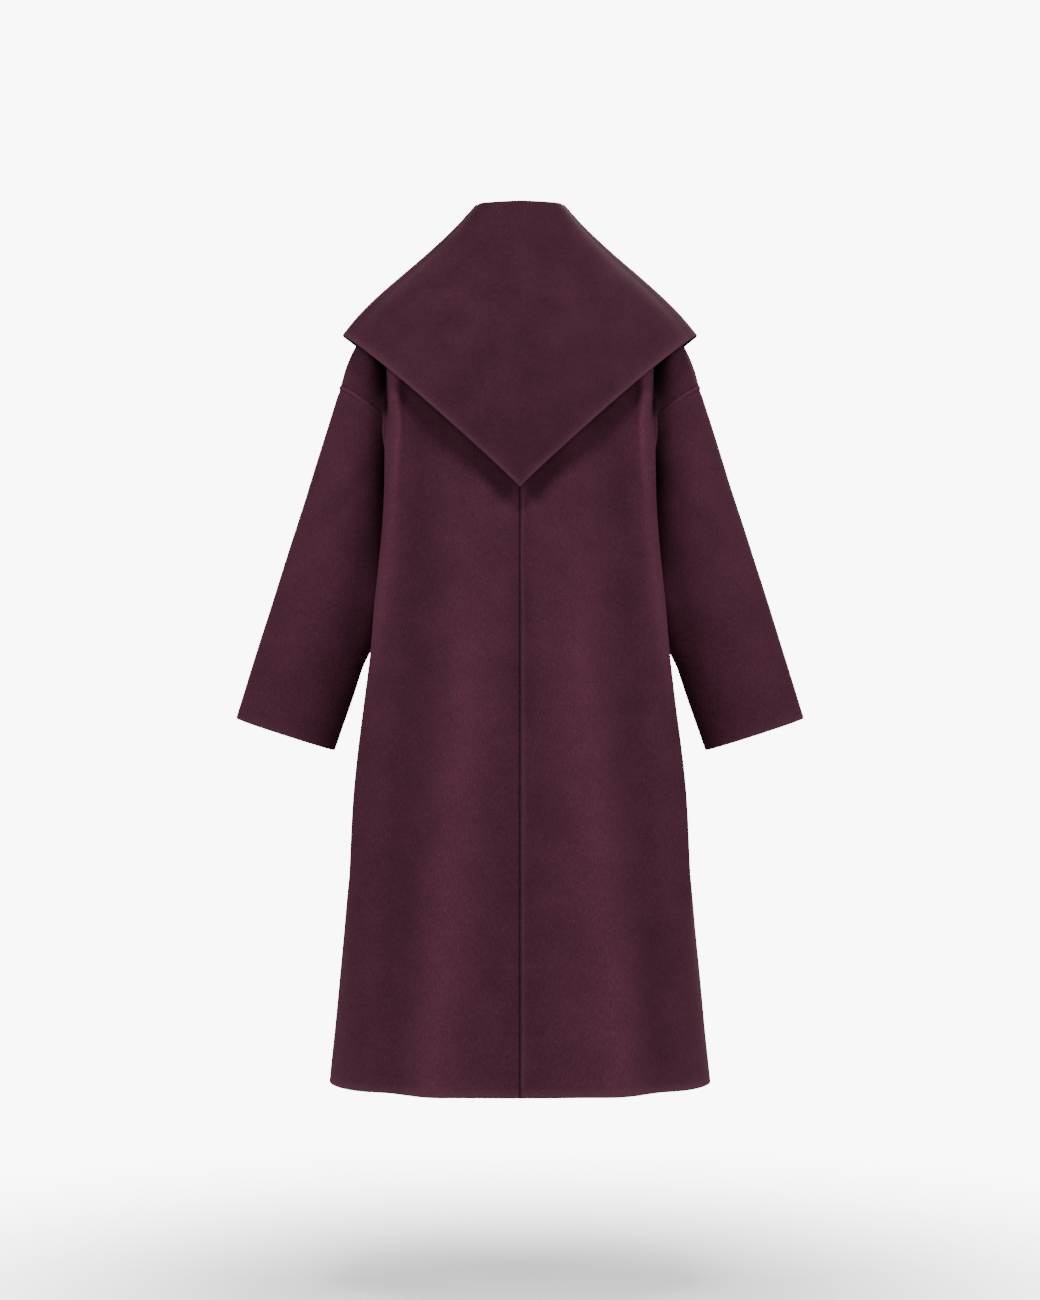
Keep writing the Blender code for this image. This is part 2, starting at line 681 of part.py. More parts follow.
def main():
    """Work out every middle surface, then give each piece its wall."""
    clear_scene()
    flips = {"back_left": 1.0, "back_right": -1.0, "front_left": -1.0, "front_right": 1.0}
    panels = {"back_" + side: back_panel(side) for side in SIGN}
    panels.update({"front_" + side: front_panel(side) for side in SIGN})
    left_tree = shell_tree([(panels["front_left"], False, flips["front_left"])])
    panels["front_right"] = cleared(panels["front_right"], left_tree, LAP_CLEARANCE, LAP_REACH)
    total = {}
    for name, surface in panels.items():
        add_normals(total, surface, False, flips[name])

    under = [(surface, False, flips[name]) for name, surface in panels.items()]
    body_tree = shell_tree(under)
    sleeves = {}
    first = ROWS_SKIRT + ROWS_WAIST
    for side in SIGN:
        rings = [panels["back_" + side][first:, 0], panels["front_" + side][first + 1:-1, 0][::-1]]
        ring = np.concatenate(rings)
        ring_normals = normals_of(total, ring[None])[0]
        mirror = np.array((SIGN[side], 1.0, 1.0))
        sleeves[side] = clear_sleeve(sleeve_tube(side, ring * mirror, ring_normals * mirror), body_tree)
    sleeve_flip = {"left": 1.0, "right": -1.0}
    under += [(sleeves[side], True, sleeve_flip[side]) for side in SIGN]
    collar = collar_surface(panels, total, shell_tree(under), left_tree)
    add_normals(total, collar, False, 1.0)

    for name, surface in panels.items():
        sewn = inset_edges(surface, ("first_column", "last_column", "last_row"), SEAM_INSET)
        material = make_material(name + "_wool", WOOL_COLOUR, WOOL_ROUGHNESS)
        make_wall(name, sewn, normals_of(total, surface), False, material)
    for side, surface in sleeves.items():
        sums = {}
        add_normals(sums, surface, True, sleeve_flip[side])
        material = make_material("sleeve_" + side + "_wool", WOOL_COLOUR, WOOL_ROUGHNESS)
        make_wall("sleeve_" + side, surface, normals_of(sums, surface), True, material)
    sewn = inset_edges(collar, ("first_row",), COLLAR_INSET)
    material = make_material("collar_wool", WOOL_COLOUR, WOOL_ROUGHNESS)
    make_wall("collar", sewn, normals_of(total, collar), False, material)

    front_tree = shell_tree([(panels["front_right"], False, flips["front_right"])])
    for column, x in BUTTON_X.items():
        for number, z in enumerate(BUTTON_Z, start=1):
            name = "button_{}_{}".format(column, number)
            material = make_material(name + "_resin", BUTTON_COLOUR, BUTTON_ROUGHNESS)
            make_button(name, x, z, front_tree, material)


main()
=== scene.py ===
"""Looks of a long double-breasted wool coat with a pointed cape collar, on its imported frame.

The cloth is drawn again from the coat's own sections, much finer than the solids, and gets its
creases, seams, rounded edges and nap here. Sizes are millimetres up to the making of a mesh.
The wearer's left is +X, the front faces -Y, and the origin is the base of the neck.
"""

from collections import namedtuple

import bmesh
import bpy
import numpy as np
from mathutils import Matrix, Vector, noise
from mathutils.bvhtree import BVHTree

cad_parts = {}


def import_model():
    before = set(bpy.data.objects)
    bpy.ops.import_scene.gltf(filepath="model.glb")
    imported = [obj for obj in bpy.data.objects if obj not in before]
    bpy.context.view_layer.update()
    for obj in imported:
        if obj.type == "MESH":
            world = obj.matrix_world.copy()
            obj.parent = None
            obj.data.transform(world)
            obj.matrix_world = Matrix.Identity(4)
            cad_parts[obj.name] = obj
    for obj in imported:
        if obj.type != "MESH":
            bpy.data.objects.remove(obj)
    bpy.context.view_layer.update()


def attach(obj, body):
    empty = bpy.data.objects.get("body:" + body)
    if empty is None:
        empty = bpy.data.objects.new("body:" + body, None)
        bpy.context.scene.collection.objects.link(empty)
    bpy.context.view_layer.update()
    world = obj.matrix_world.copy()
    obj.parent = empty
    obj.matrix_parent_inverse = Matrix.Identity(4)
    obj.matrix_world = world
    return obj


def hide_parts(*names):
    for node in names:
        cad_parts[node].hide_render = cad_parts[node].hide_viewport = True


METRES_PER_MM = 0.001

# Cloth and seams
WALL = 2.4
LAP_STEP = 2.6
LAP_CLEARANCE = WALL + 1.6
LAP_REACH = 30.0
CLEARING_PASSES = 4

# Grid of the panels
ROWS_SKIRT = 11
ROWS_WAIST = 2
ROWS_ARMHOLE = 10
COLUMNS_SHOULDER = 12
COLUMNS_NECK = 7
ROWS_SLEEVE = 11

# Heights
HEM_Z = -1121.0
BREAK_Z = -420.0
ARMPIT_Z = -345.0

# Horizontal sections of the body, from the hem up to the armpit
BodyRow = namedtuple("BodyRow", "z side_half fold_reach back_depth front_depth")
BODY = (
    BodyRow(HEM_Z, 256.0, 0.0, 174.0, 170.0),
    BodyRow(-960.0, 240.0, 6.0, 164.0, 160.0),
    BodyRow(-830.0, 228.0, 18.0, 157.0, 152.0),
    BodyRow(-700.0, 210.0, 29.0, 150.0, 146.0),
    BodyRow(-560.0, 189.0, 31.0, 144.0, 139.0),
    BodyRow(-450.0, 173.0, 36.0, 140.0, 133.0),
    BodyRow(ARMPIT_Z, 163.0, 37.0, 138.0, 128.0),
)
SECTION_ROUNDNESS = 2.3
EASED_BELOW = 3
EASED_ABOVE = 6
EASED_FROM = 4
EASING_PASSES = 8
FOLD_SHARE = 0.34

# Long soft ridges and hollows of the back, from under the collar to the hem
FoldRow = namedtuple("FoldRow", "side x_top x_hem z_top width_top width_hem rise_top rise_hem")
FOLDS = (
    FoldRow("left", 52.0, 116.0, -400.0, 27.0, 34.0, 5.0, 9.0),
    FoldRow("left", 127.0, 172.0, -380.0, 24.0, 30.0, -9.0, -13.0),
    FoldRow("right", 60.0, 132.0, -370.0, 27.0, 36.0, 6.0, 10.0),
    FoldRow("right", 125.0, 182.0, -380.0, 24.0, 28.0, -9.0, -12.0),
)
FOLD_FADE = 170.0
FOLD_MARGIN = 40.0

# Centre back line above the armpit
BackRow = namedtuple("BackRow", "z y")
CENTRE_BACK = (
    BackRow(ARMPIT_Z, 138.0),
    BackRow(-260.0, 134.0),
    BackRow(-180.0, 124.0),
    BackRow(-100.0, 106.0),
    BackRow(-40.0, 82.0),
    BackRow(0.0, 60.0),
)

# Neck, shoulder and armhole
NECK_HALF = 66.0
NECK_DEPTH = 60.0
NECK_SIDE_Z = 10.0
NECK_SHARE = 0.7
SHOULDER_TIP = (241.0, -4.0, -182.0)
SHOULDER_HANDLES = ((222.0, -4.0, -92.0), (130.0, -2.0, -15.0))
ARMHOLE_HALF_DEPTH = 66.0
ARMHOLE_BOW = 35.0

# Ways in which the rows of the upper panels leave the armhole and reach the centre, by climb
WayRow = namedtuple("WayRow", "climb x y z")
BACK_ARMHOLE_WAYS = (
    WayRow(0.0, 0.0, 230.0, 0.0),
    WayRow(0.25, 130.0, 200.0, -40.0),
    WayRow(0.5, 200.0, 160.0, 20.0),
    WayRow(0.75, -20.0, 120.0, 190.0),
    WayRow(1.0, -81.0, 0.0, 386.0),
)
FRONT_ARMHOLE_WAYS = (
    WayRow(0.0, 0.0, -230.0, 0.0),
    WayRow(0.25, 25.0, -190.0, -30.0),
    WayRow(0.5, 70.0, -150.0, 20.0),
    WayRow(0.75, -20.0, -90.0, 150.0),
    WayRow(1.0, -57.0, 0.0, 270.0),
)
CENTRE_BACK_WAYS = (
    WayRow(0.0, -250.0, 0.0, 0.0),
    WayRow(1.0, -280.0, 0.0, 0.0),
)
ROLL_WAYS = (
    WayRow(0.0, -220.0, 10.0, 0.0),
    WayRow(0.5, -190.0, 0.0, 10.0),
    WayRow(1.0, -192.0, 6.0, 75.0),
)

# Front edge of a panel: the straight edge and, above the break, the roll line of the collar
EdgeRow = namedtuple("EdgeRow", "z x y")
FRONT_EDGE = (
    EdgeRow(HEM_Z, -95.0, -160.0),
    EdgeRow(-700.0, -95.0, -140.0),
    EdgeRow(BREAK_Z, -95.0, -120.0),
    EdgeRow(ARMPIT_Z, -36.0, -126.0),
    EdgeRow(-290.0, 2.0, -124.0),
    EdgeRow(-180.0, 40.0, -104.0),
    EdgeRow(-100.0, 57.0, -79.0),
    EdgeRow(-40.0, 66.0, -46.0),
    EdgeRow(NECK_SIDE_Z, NECK_HALF, 0.0),
)
LAP_FULL_X = 112.0
LAP_NONE_X = 158.0
LAP_FULL_Z = -280.0
LAP_NONE_Z = -110.0

# Sleeve
CUFF_OUTER = (387.0, -46.0, -633.0)
CUFF_INNER = (254.0, -52.0, -676.0)
CUFF_HALF_DEPTH = 50.0
SLEEVE_INNER_BOW = 11.0
ARMHOLE_STEP = WALL + 1.8
ARMHOLE_STEP_START = 0.3
ARMHOLE_STEP_FULL = 1.6
ARMHOLE_GAP = 0.35
SLEEVE_CLEARANCE = WALL + 1.4
SLEEVE_REACH = 12.0
SLEEVE_CLEARED_ROWS = 7
SLEEVE_CLEARED_FROM = 1.1

# Collar; its point and the crown of its stand lie a little lower here than in the solid
COLLAR_STAND_ROWS = 3
COLLAR_ROLL_ROWS = 5
COLLAR_FALL_ROWS = 8
COLLAR_SKIPPED_LEFT = 3
COLLAR_TIP = (0.0, 150.0, -330.0)
COLLAR_BACK_HANDLE = (190.0, 150.0, -150.0)
COLLAR_CORNER = (239.0, -4.0, -116.0)
COLLAR_FRONT_HANDLES = {"left": (184.0, -130.0, -152.0), "right": (140.0, -140.0, -188.0)}
COLLAR_BULGE = 18.0
COLLAR_BULGE_START = 0.35
COLLAR_CLEARANCE = 8.5
COLLAR_REACH = 100.0
COLLAR_END_WIDTH = 16.0
COLLAR_FRONT_START = 1.0
COLLAR_FRONT_FULL = 1.7
COLLAR_BULGE_LAST = 1.4
COLLAR_LAST = 2.0
StandRow = namedtuple("StandRow", "station stand lean roll")
COLLAR_STAND = (
    StandRow(0.0, 51.5, 0.12, 6.5),
    StandRow(0.3, 51.5, 0.21, 6.35),
    StandRow(0.57, 50.4, 0.29, 6.2),
    StandRow(0.8, 47.2, 0.34, 6.1),
    StandRow(1.0, 41.5, 0.36, 6.0),
    StandRow(1.3, 34.0, 0.36, 6.0),
    StandRow(1.6, 18.0, 0.36, 5.5),
    StandRow(COLLAR_LAST, 4.0, 0.36, 4.0),
)

# Buttons
BUTTON_RADIUS = 14.0
BUTTON_THICKNESS = 4.0
BUTTON_SIDES = 20
BUTTON_SEAT = 0.4
BUTTON_SEAT_RINGS = (0.33, 0.66, 1.0)
BUTTON_X = {"inner": -62.0, "outer": 62.0}
BUTTON_Z = (-468.0, -584.0, -700.0)
BEFORE_FRONT_Y = -400.0

# Fine grids: steps of the drawn cloth in each coarse step, and in a coarse step at an edge
PANEL_ROWS_EACH = 5
PANEL_COLUMNS_EACH = 7
SLEEVE_ROWS_EACH = 5
SLEEVE_COLUMNS_EACH = 8
COLLAR_ROWS_EACH = 5
COLLAR_COLUMNS_EACH = 7
EDGE_EACH = 10

# Rounded edge of the cloth
EDGE_ROUND = 1.1
SEWN_ROUND = 0.25
EDGE_STEPS = 4
# The next two say how far the painted highlight and the extra nap reach in from an open edge, and how far
# the painted shadow reaches from a sewn one
EDGE_FADE = 5.0
SEAM_SHADOW_FADE = 1.1
FREE_EDGES = {"back": ("first_row",), "front": ("first_row", "last_column"), "sleeve": ("last_row",),
              "collar": ("last_row", "first_column", "last_column")}
# Strength of the painted shadow along each sewn edge; the centre back is the one that shows clearly
SEWN_SHADOW_SHARE = {("back", "last_column"): 1.0}
SEWN_SHADOW_ELSEWHERE = 0.3

# Where the smooth fall of the collar starts to run out into its point, as a share of its length
POINT_START = 0.55

# Seams: the right back laps over the left one, and the sleeve carries a small raised welt
LAP_RISE = 1.0
LAP_AT = 4.0
LAP_WIDTH = 3.0
LAP_TUCK = -0.9
# Share of the painted highlight on the ridge of the lap
LAP_HIGHLIGHT = 0.45
TUCK_WIDTH = 2.6
SLEEVE_HEAD = 9.0
WELT_RISE = 0.9
# Share of the painted highlight on the ridge of the welt
WELT_HIGHLIGHT = 0.6
WELT_AT = 3.0
WELT_WIDTH = 2.2
WELT_TUCK = -0.8
WELT_TUCK_AT = 9.0
WELT_TUCK_WIDTH = 3.5

# Slow unevenness of hanging cloth
UNEVEN_SIZE = 95.0
UNEVEN_RISE = 0.7

# Soft creases drawn along listed lines: ends as shares of the piece's width and height, then width and rise.
# The last ones round out the inner edge of each sleeve, where the grid starts and ends
Crease = namedtuple("Crease", "piece across_start down_start across_end down_end width rise")
CREASES = (
    Crease("sleeve_left", 0.20, 0.10, 0.30, 0.55, 16.0, -1.6),
    Crease("sleeve_left", 0.33, 0.30, 0.27, 1.10, 20.0, 1.4),
    Crease("sleeve_left", 0.62, 0.20, 0.78, 0.62, 15.0, -1.8),
    Crease("sleeve_left", 0.80, 0.45, 0.66, 0.85, 15.0, -1.5),
    Crease("sleeve_right", 0.18, 0.16, 0.27, 0.60, 17.0, -1.5),
    Crease("sleeve_right", 0.34, 0.25, 0.30, 1.10, 21.0, 1.3),
    Crease("sleeve_right", 0.64, 0.16, 0.76, 0.58, 15.0, -1.7),
    Crease("sleeve_right", 0.79, 0.50, 0.68, 0.88, 14.0, -1.5),
    Crease("front_left", 0.30, -0.10, 0.36, 0.48, 26.0, 2.4),
    Crease("front_left", 0.16, -0.10, 0.20, 0.42, 22.0, -2.6),
    Crease("front_right", 0.28, -0.10, 0.35, 0.50, 27.0, 2.6),
    Crease("front_right", 0.15, -0.10, 0.21, 0.45, 22.0, -2.4),
) + tuple(Crease("sleeve_" + side, across, 0.20, across, 0.53, 26.0, 6.0)
          for side in ("left", "right") for across in (0.0, 1.0))
# Share of a crease's length over which it fades at either end
CREASE_FADE = 0.3

# Side fold: the back stands out in an edge beside each arm. Above the armhole seam the panel falls away
# behind that edge, below it the sleeve sinks, and the edge itself is drawn towards the middle. Nearer the
# cuff the sleeve stands out to the rear instead, as a sink below zero
SideFold = namedtuple("SideFold", "z edge fall sink draw")
SIDE_FOLD = (
    SideFold(-690.0, 256.0, 0.0, -18.0, 0.0),
    SideFold(-640.0, 236.0, 0.0, -20.0, 0.0),
    SideFold(-570.0, 206.0, 0.0, -22.0, 0.0),
    SideFold(-480.0, 193.0, 0.0, -20.0, 0.0),
    SideFold(-400.0, 186.0, 0.0, 14.0, 3.0),
    SideFold(-310.0, 179.5, 0.0, 44.0, 7.0),
    SideFold(-270.0, 177.5, 0.0, 46.0, 8.0),
    SideFold(-240.0, 177.0, 14.0, 40.0, 9.0),
    SideFold(-205.0, 176.5, 60.0, 16.0, 5.0),
    SideFold(-150.0, 176.0, 70.0, 0.0, 0.0),
    SideFold(-96.0, 176.0, 0.0, 0.0, 0.0),
)
# How far from that edge the cloth turns, falls, sinks and is drawn, and how proud the edge stands
FOLD_EDGE = 5.0
FOLD_REACH = 15.0
SINK_REACH = 24.0
SINK_HEAD = 30.0
DRAW_START = -32.0
EDGE_RISE = 9.0
EDGE_RISE_AT = -9.0
EDGE_RISE_WIDTH = 12.0

# Middle of the arm from front to rear, at the shoulder and at the cuff; the rear side starts about there
ARM_MIDDLE = ((-182.0, -4.0), (-633.0, -46.0))
REAR_START = -22.0
REAR_FULL = 8.0

# The outer edge of the collar stands off the back
FLARE_RISE = 13.0
FLARE_START = 0.35
FLARE_TURN = 0.25
FLARE_FULL = 0.75

# Painted light on the back: painted highlight on the ridges, painted shade in the hollows and beside the
# centre seam
PaintedFoldRow = namedtuple("PaintedFoldRow", "side x_top x_hem z_top width_top width_hem tone")
PAINTED_FOLD_LIGHT = (
    PaintedFoldRow("left", 66.0, 116.0, -560.0, 26.0, 32.0, 1.0),
    PaintedFoldRow("left", 128.0, 174.0, -330.0, 25.0, 32.0, -0.8),
    PaintedFoldRow("left", 0.0, 0.0, -480.0, 16.0, 52.0, -0.7),
    PaintedFoldRow("right", 78.0, 132.0, -540.0, 28.0, 36.0, 1.0),
    PaintedFoldRow("right", 130.0, 184.0, -330.0, 24.0, 30.0, -0.8),
    PaintedFoldRow("right", 0.0, 0.0, -480.0, 16.0, 58.0, -0.7),
)

# Painted shade in the hollow of the side fold, and a painted highlight on its edge
SIDE_FOLD_FULL = 40.0
FOLD_HOLLOW = 32.0
FOLD_PAINTED_SHADE = 3.1
FOLD_PAINTED_HIGHLIGHT = 1.8
HIGHLIGHT_START = -96.0
HIGHLIGHT_END = -480.0
# Painted shade over the whole collar, so that its upturned fall does not look brighter than the back under
# the light from above
COLLAR_PAINTED_SHADE = -1.25
# Share of the cloth's colour that a painted light tone of one adds; below zero it takes colour away as
# painted shade
PAINTED_LIGHT_DEPTH = 0.26

# Nap: short fibres that stand off the cloth, more of them along its edges
NAP_DENSITY = 24000.0
NAP_LENGTH = 0.0008
NAP_RADIUS = 0.00005
NAP_EDGE_SHARE = 2.0
NAP_LEAN = 1.15
NAP_SIZES = (0.45, 1.2)
NAP_SIDES = 3
NAP_SEED = 7

# Buttons: radius and height from the middle of the back, round the rim, to the middle of the dished face,
# then the sewing holes and the thread
BUTTON_SECTION = (
    (0.0, 0.0), (12.4, 0.0), (13.5, 0.5), (14.0, 1.6), (13.8, 2.9), (13.0, 3.8), (12.0, 4.0),
    (11.0, 3.8), (10.0, 3.1), (8.6, 2.7), (0.0, 2.6),
)
BUTTON_TURNS = 40
BUTTON_CREASE = np.radians(40.0)
HOLE_OFFSET = 2.5
HOLE_RADIUS = 1.15
HOLE_SIDES = 12
DRILL_LENGTH = 4.0 * BUTTON_THICKNESS
THREAD_RADIUS = 0.42
THREAD_BOW = 0.9
THREAD_SQUARENESS = 0.6
THREAD_SPREAD = 0.45
THREAD_STEPS = 10
THREAD_SIDES = 6

# Studio
FLOOR_Z = -1.42
FLOOR_HALF = 1.6
FLOOR_FADE_START = 0.2
FLOOR_FADE_END = 1.5
CAMERA_Y = 4.2
CAMERA_Z = -0.5395
CAMERA_HALF_HEIGHT = 0.8788

# Colours, sRGB
# Painted shadow along the seams
WOOL_SEAM_SHADOW = "#26101A"
WOOL_DARK = "#401D2C"
WOOL_BASE = "#4A2434"
WOOL_LIGHT = "#562C3F"
# Painted highlight along the open edges and on the ridges of the seams
WOOL_EDGE_HIGHLIGHT = "#704559"
WOOL_SHEEN = "#B07088"
RESIN_DARK = "#1C0D14"
RESIN_LIGHT = "#38202C"
PAPER = "#F4F3F2"
GROUND = "#FFFFFF"

# Wool and its fibres: sizes of their patterns in millimetres, their shares, and how they take the light
FLECK = 2.4
STRAND = 1.6
STRAND_DRAWN = (1.0, 0.22, 1.0)
CLOUD = 46.0
CLOUD_READ = (0.3, 0.7)
CLOUD_SHARE = (0.9, 1.1)
HEATHER_STOPS = (0.34, 0.51, 0.68)
# Shares of the painted highlight along the edges and of the painted shadow along the seams
EDGE_HIGHLIGHT_SHARE = 0.35
SEAM_SHADOW_SHARE = 0.7
WOOL_BUMP = 0.8
WOOL_BUMP_STRENGTH = 0.36
WOOL_ROUGHNESS = (0.84, 1.0)
WOOL_SPECULAR = 0.12
WOOL_SHEEN_WEIGHT = 0.12
WOOL_SHEEN_ROUGHNESS = 0.45
FIBRE_TONE = 3.0
FIBRE_STOPS = (0.35, 0.65)
FIBRE_ROUGHNESS = 0.85
FIBRE_SPECULAR = 0.2

# Buttons, thread and floor: sizes of their patterns in millimetres, and how they take the light
RESIN_CLOUD = 7.0
RESIN_STOPS = (0.35, 0.7)
RESIN_MARK = 1.1
RESIN_ROUGHNESS = (0.26, 0.44)
RESIN_IOR = 1.55
THREAD_TWIST = 1.2
THREAD_ROUGHNESS = 0.7
PAPER_ROUGHNESS = 0.9

# Lights: the room, the ground behind the coat, and the lamps
WORLD_STRENGTH = 0.09
BACKGROUND_STRENGTH = 9.0
Lamp = namedtuple("Lamp", "name place size watts")
LIGHTS = (
    Lamp("top_key", (0.0, 2.7, 3.3), 1.1, 126.0),
    Lamp("left_key", (2.4, 2.5, 1.7), 1.3, 72.0),
    Lamp("right_key", (-2.4, 2.5, 1.7), 1.3, 72.0),
    Lamp("left_side", (3.4, 0.6, 0.2), 1.4, 25.0),
    Lamp("right_side", (-3.4, 0.6, 0.2), 1.4, 25.0),
    Lamp("front_key", (-0.6, -3.2, 2.6), 2.2, 260.0),
)

# Cut of each piece of cloth: width and length of the cloth it takes, and its own flat area, metres
Cut = namedtuple("Cut", "piece width length area held rests_on")
CUTS = (
    Cut("back_left", 0.42, 1.20, 0.34, "hung", ()),
    Cut("back_right", 0.42, 1.20, 0.34, "hung", ()),
    Cut("front_left", 0.42, 1.20, 0.37, "hung", ()),
    Cut("front_right", 0.42, 1.20, 0.37, "hung", ()),
    Cut("sleeve_left", 0.46, 0.52, 0.17, "hung", ("back_left", "front_left")),
    Cut("sleeve_right", 0.46, 0.52, 0.17, "hung", ("back_right", "front_right")),
    Cut("collar", 0.95, 0.60, 0.29, "folded", ("back_left", "back_right", "front_left", "front_right")),
)

X, Y, Z = 0, 1, 2
SMALLEST = 1e-9
SAME_PLACE = 0.001
SIGN = {"left": 1.0, "right": -1.0}


def smooth(low, high, value):
    """Ease from 0 at low to 1 at high."""
    share = np.clip((value - low) / (high - low), 0.0, 1.0)
    return share * share * (3.0 - 2.0 * share)


def read(rows, key, name, at):
    """Smooth curve, with no overshoot, through one column of a table, read along another column."""
    knots = np.array([getattr(row, key) for row in rows])
    values = np.array([getattr(row, name) for row in rows])
    secants = np.diff(values) / np.diff(knots)
    before, after = secants[:-1], secants[1:]
    mean = 2.0 * before * after / np.where(before * after > 0.0, before + after, 1.0)
    inner = np.where(before * after > 0.0, mean, 0.0)
    slopes = np.concatenate((secants[:1], inner, secants[-1:]))
    at = np.clip(at, knots[0], knots[-1])
    low = np.clip(np.searchsorted(knots, at, side="right") - 1, 0, len(knots) - 2)
    span = knots[low + 1] - knots[low]
    share = (at - knots[low]) / span
    rest = 1.0 - share
    return (rest ** 2 * (1.0 + 2.0 * share) * values[low]
            + share ** 2 * (3.0 - 2.0 * share) * values[low + 1]
            + share * rest * span * (rest * slopes[low] - share * slopes[low + 1]))


def points(x, y, z):
    """Stack coordinates, spread to one shape, into points."""
    return np.stack(np.broadcast_arrays(x, y, z), axis=-1).astype(float)


def power(value):
    """Signed power that squares off a round section a little."""
    return np.sign(value) * np.abs(value) ** (2.0 / SECTION_ROUNDNESS)


def unit(vectors):
    """Vectors scaled to length one."""
    return vectors / np.maximum(np.linalg.norm(vectors, axis=-1, keepdims=True), SMALLEST)


def bezier(ends, share):
    """Bezier curve through its first and last control points."""
    share = np.asarray(share, dtype=float)[..., None]
    layers = [np.array(end) for end in ends]
    while len(layers) > 1:
        layers = [a + (b - a) * share for a, b in zip(layers, layers[1:])]
    return layers[0]


def fold_bump(u):
    """Hump that is highest where the back turns forward under the arm."""
    from_side = np.sin(np.pi / 2.0 * np.minimum(u / FOLD_SHARE, 1.0)) ** 4
    from_centre = np.sin(np.pi / 2.0 * np.minimum((1.0 - u) / (1.0 - FOLD_SHARE), 1.0)) ** 2
    return from_side * from_centre


def back_section(z, u):
    """Lower back: u runs from the side seam at 0 to the centre back at 1."""
    turn = u * np.pi / 2.0
    side_half = read(BODY, "z", "side_half", z)
    x = side_half * power(np.cos(turn)) + read(BODY, "z", "fold_reach", z) * fold_bump(u)
    y = read(BODY, "z", "back_depth", z) * power(np.sin(turn))
    return points(np.where(u >= 1.0, 0.0, x), y, z)


def front_section(z, u):
    """Lower front: u runs from the side seam at 0 to the front edge, past the centre, at 1."""
    side_half = read(BODY, "z", "side_half", z)
    edge = read(FRONT_EDGE, "z", "x", z) / side_half
    last_turn = np.arccos(np.sign(edge) * np.abs(edge) ** (SECTION_ROUNDNESS / 2.0))
    turn = u * last_turn
    y = -read(BODY, "z", "front_depth", z) * power(np.sin(turn))
    return points(side_half * power(np.cos(turn)), y, z)


def armhole_bow(angle):
    """How far the armhole bends in towards the body, most of it above its middle."""
    return ARMHOLE_BOW * np.sin(angle) ** 2 * (1.0 + np.cos(angle) / 2.0)


def armhole(angle):
    """Armhole: angle 0 at the shoulder tip, a quarter turn at the back, a half turn at the armpit."""
    top = np.array(SHOULDER_TIP)
    low = np.array((BODY[-1].side_half, 0.0, ARMPIT_Z))
    centre = (top + low) / 2.0
    ring = centre + (top - low) / 2.0 * np.cos(angle)[..., None]
    ring[..., Y] += ARMHOLE_HALF_DEPTH * np.sin(angle)
    ring[..., X] -= armhole_bow(angle)
    return ring


def shoulder(share):
    """Shoulder seam from the tip to the side of the neck."""
    return bezier((SHOULDER_TIP,) + SHOULDER_HANDLES + ((NECK_HALF, 0.0, NECK_SIDE_Z),), share)


def back_neck(share):
    """Neck edge of the back from the side of the neck to the centre."""
    turn = np.asarray(share) * np.pi / 2.0
    x = np.where(turn >= np.pi / 2.0, 0.0, NECK_HALF * np.cos(turn))
    return points(x, NECK_DEPTH * np.sin(turn), NECK_SIDE_Z * (1.0 - np.sin(turn)))


def back_top(u):
    """Upper edge of the back: the shoulder seam, then the neck."""
    on_neck = (np.maximum(u, NECK_SHARE) - NECK_SHARE) / (1.0 - NECK_SHARE)
    on_shoulder = np.minimum(u, NECK_SHARE) / NECK_SHARE
    return np.where((u > NECK_SHARE)[..., None], back_neck(on_neck), shoulder(on_shoulder))


def centre_back(v):
    """Centre back line from the armpit's height to the neck."""
    z = ARMPIT_Z * (1.0 - v)
    return points(0.0, read(CENTRE_BACK, "z", "y", z), z)


def roll_line(v):
    """Front edge from the armpit's height to the side of the neck."""
    z = ARMPIT_Z + (NECK_SIDE_Z - ARMPIT_Z) * v
    line = points(read(FRONT_EDGE, "z", "x", z), read(FRONT_EDGE, "z", "y", z), z)
    start = front_section(np.array(ARMPIT_Z), np.array(1.0))
    first = points(read(FRONT_EDGE, "z", "x", ARMPIT_Z), read(FRONT_EDGE, "z", "y", ARMPIT_Z), ARMPIT_Z)
    return line + (start - first) * ((1.0 - v) ** 3)[..., None]


def hermite(start, start_way, end, end_way, share):
    """Curve that leaves its start and reaches its end along the given ways."""
    rest = 1.0 - share
    return (start * rest ** 2 * (1.0 + 2.0 * share) + start_way * share * rest ** 2
            + end * share ** 2 * (3.0 - 2.0 * share) - end_way * share ** 2 * rest)


def spanned(low, high, across, u, v):
    """Rows of curves across a panel, drawn to its lower and upper edges where they come near them."""
    shares, climbs = u[..., None], v[..., None]
    rows = hermite(*across(v), shares)
    at_low = hermite(*across(np.zeros_like(v)), shares)
    at_high = hermite(*across(np.ones_like(v)), shares)
    return rows + (low - at_low) * (1.0 - climbs) ** 2 + (high - at_high) * climbs ** 2


def way_at(rows, v):
    """Direction in which a panel's rows leave an edge, read from a table."""
    return points(*(read(rows, "climb", axis, v) for axis in ("x", "y", "z")))


def upper_back(u, v):
    """Back between the armpit and the shoulder seam, on a grid of u along and v up."""
    def across(climb):
        start = armhole(np.pi * (1.0 - climb))
        return start, way_at(BACK_ARMHOLE_WAYS, climb), centre_back(climb), way_at(CENTRE_BACK_WAYS, climb)
    return spanned(back_section(np.full(u.shape, ARMPIT_Z), u), back_top(u), across, u, v)


def upper_front(u, v):
    """Front between the armpit and the shoulder seam."""
    def across(climb):
        start = armhole(np.pi * (climb - 1.0))
        return start, way_at(FRONT_ARMHOLE_WAYS, climb), roll_line(climb), way_at(ROLL_WAYS, climb)
    return spanned(front_section(np.full(u.shape, ARMPIT_Z), u), shoulder(u), across, u, v)


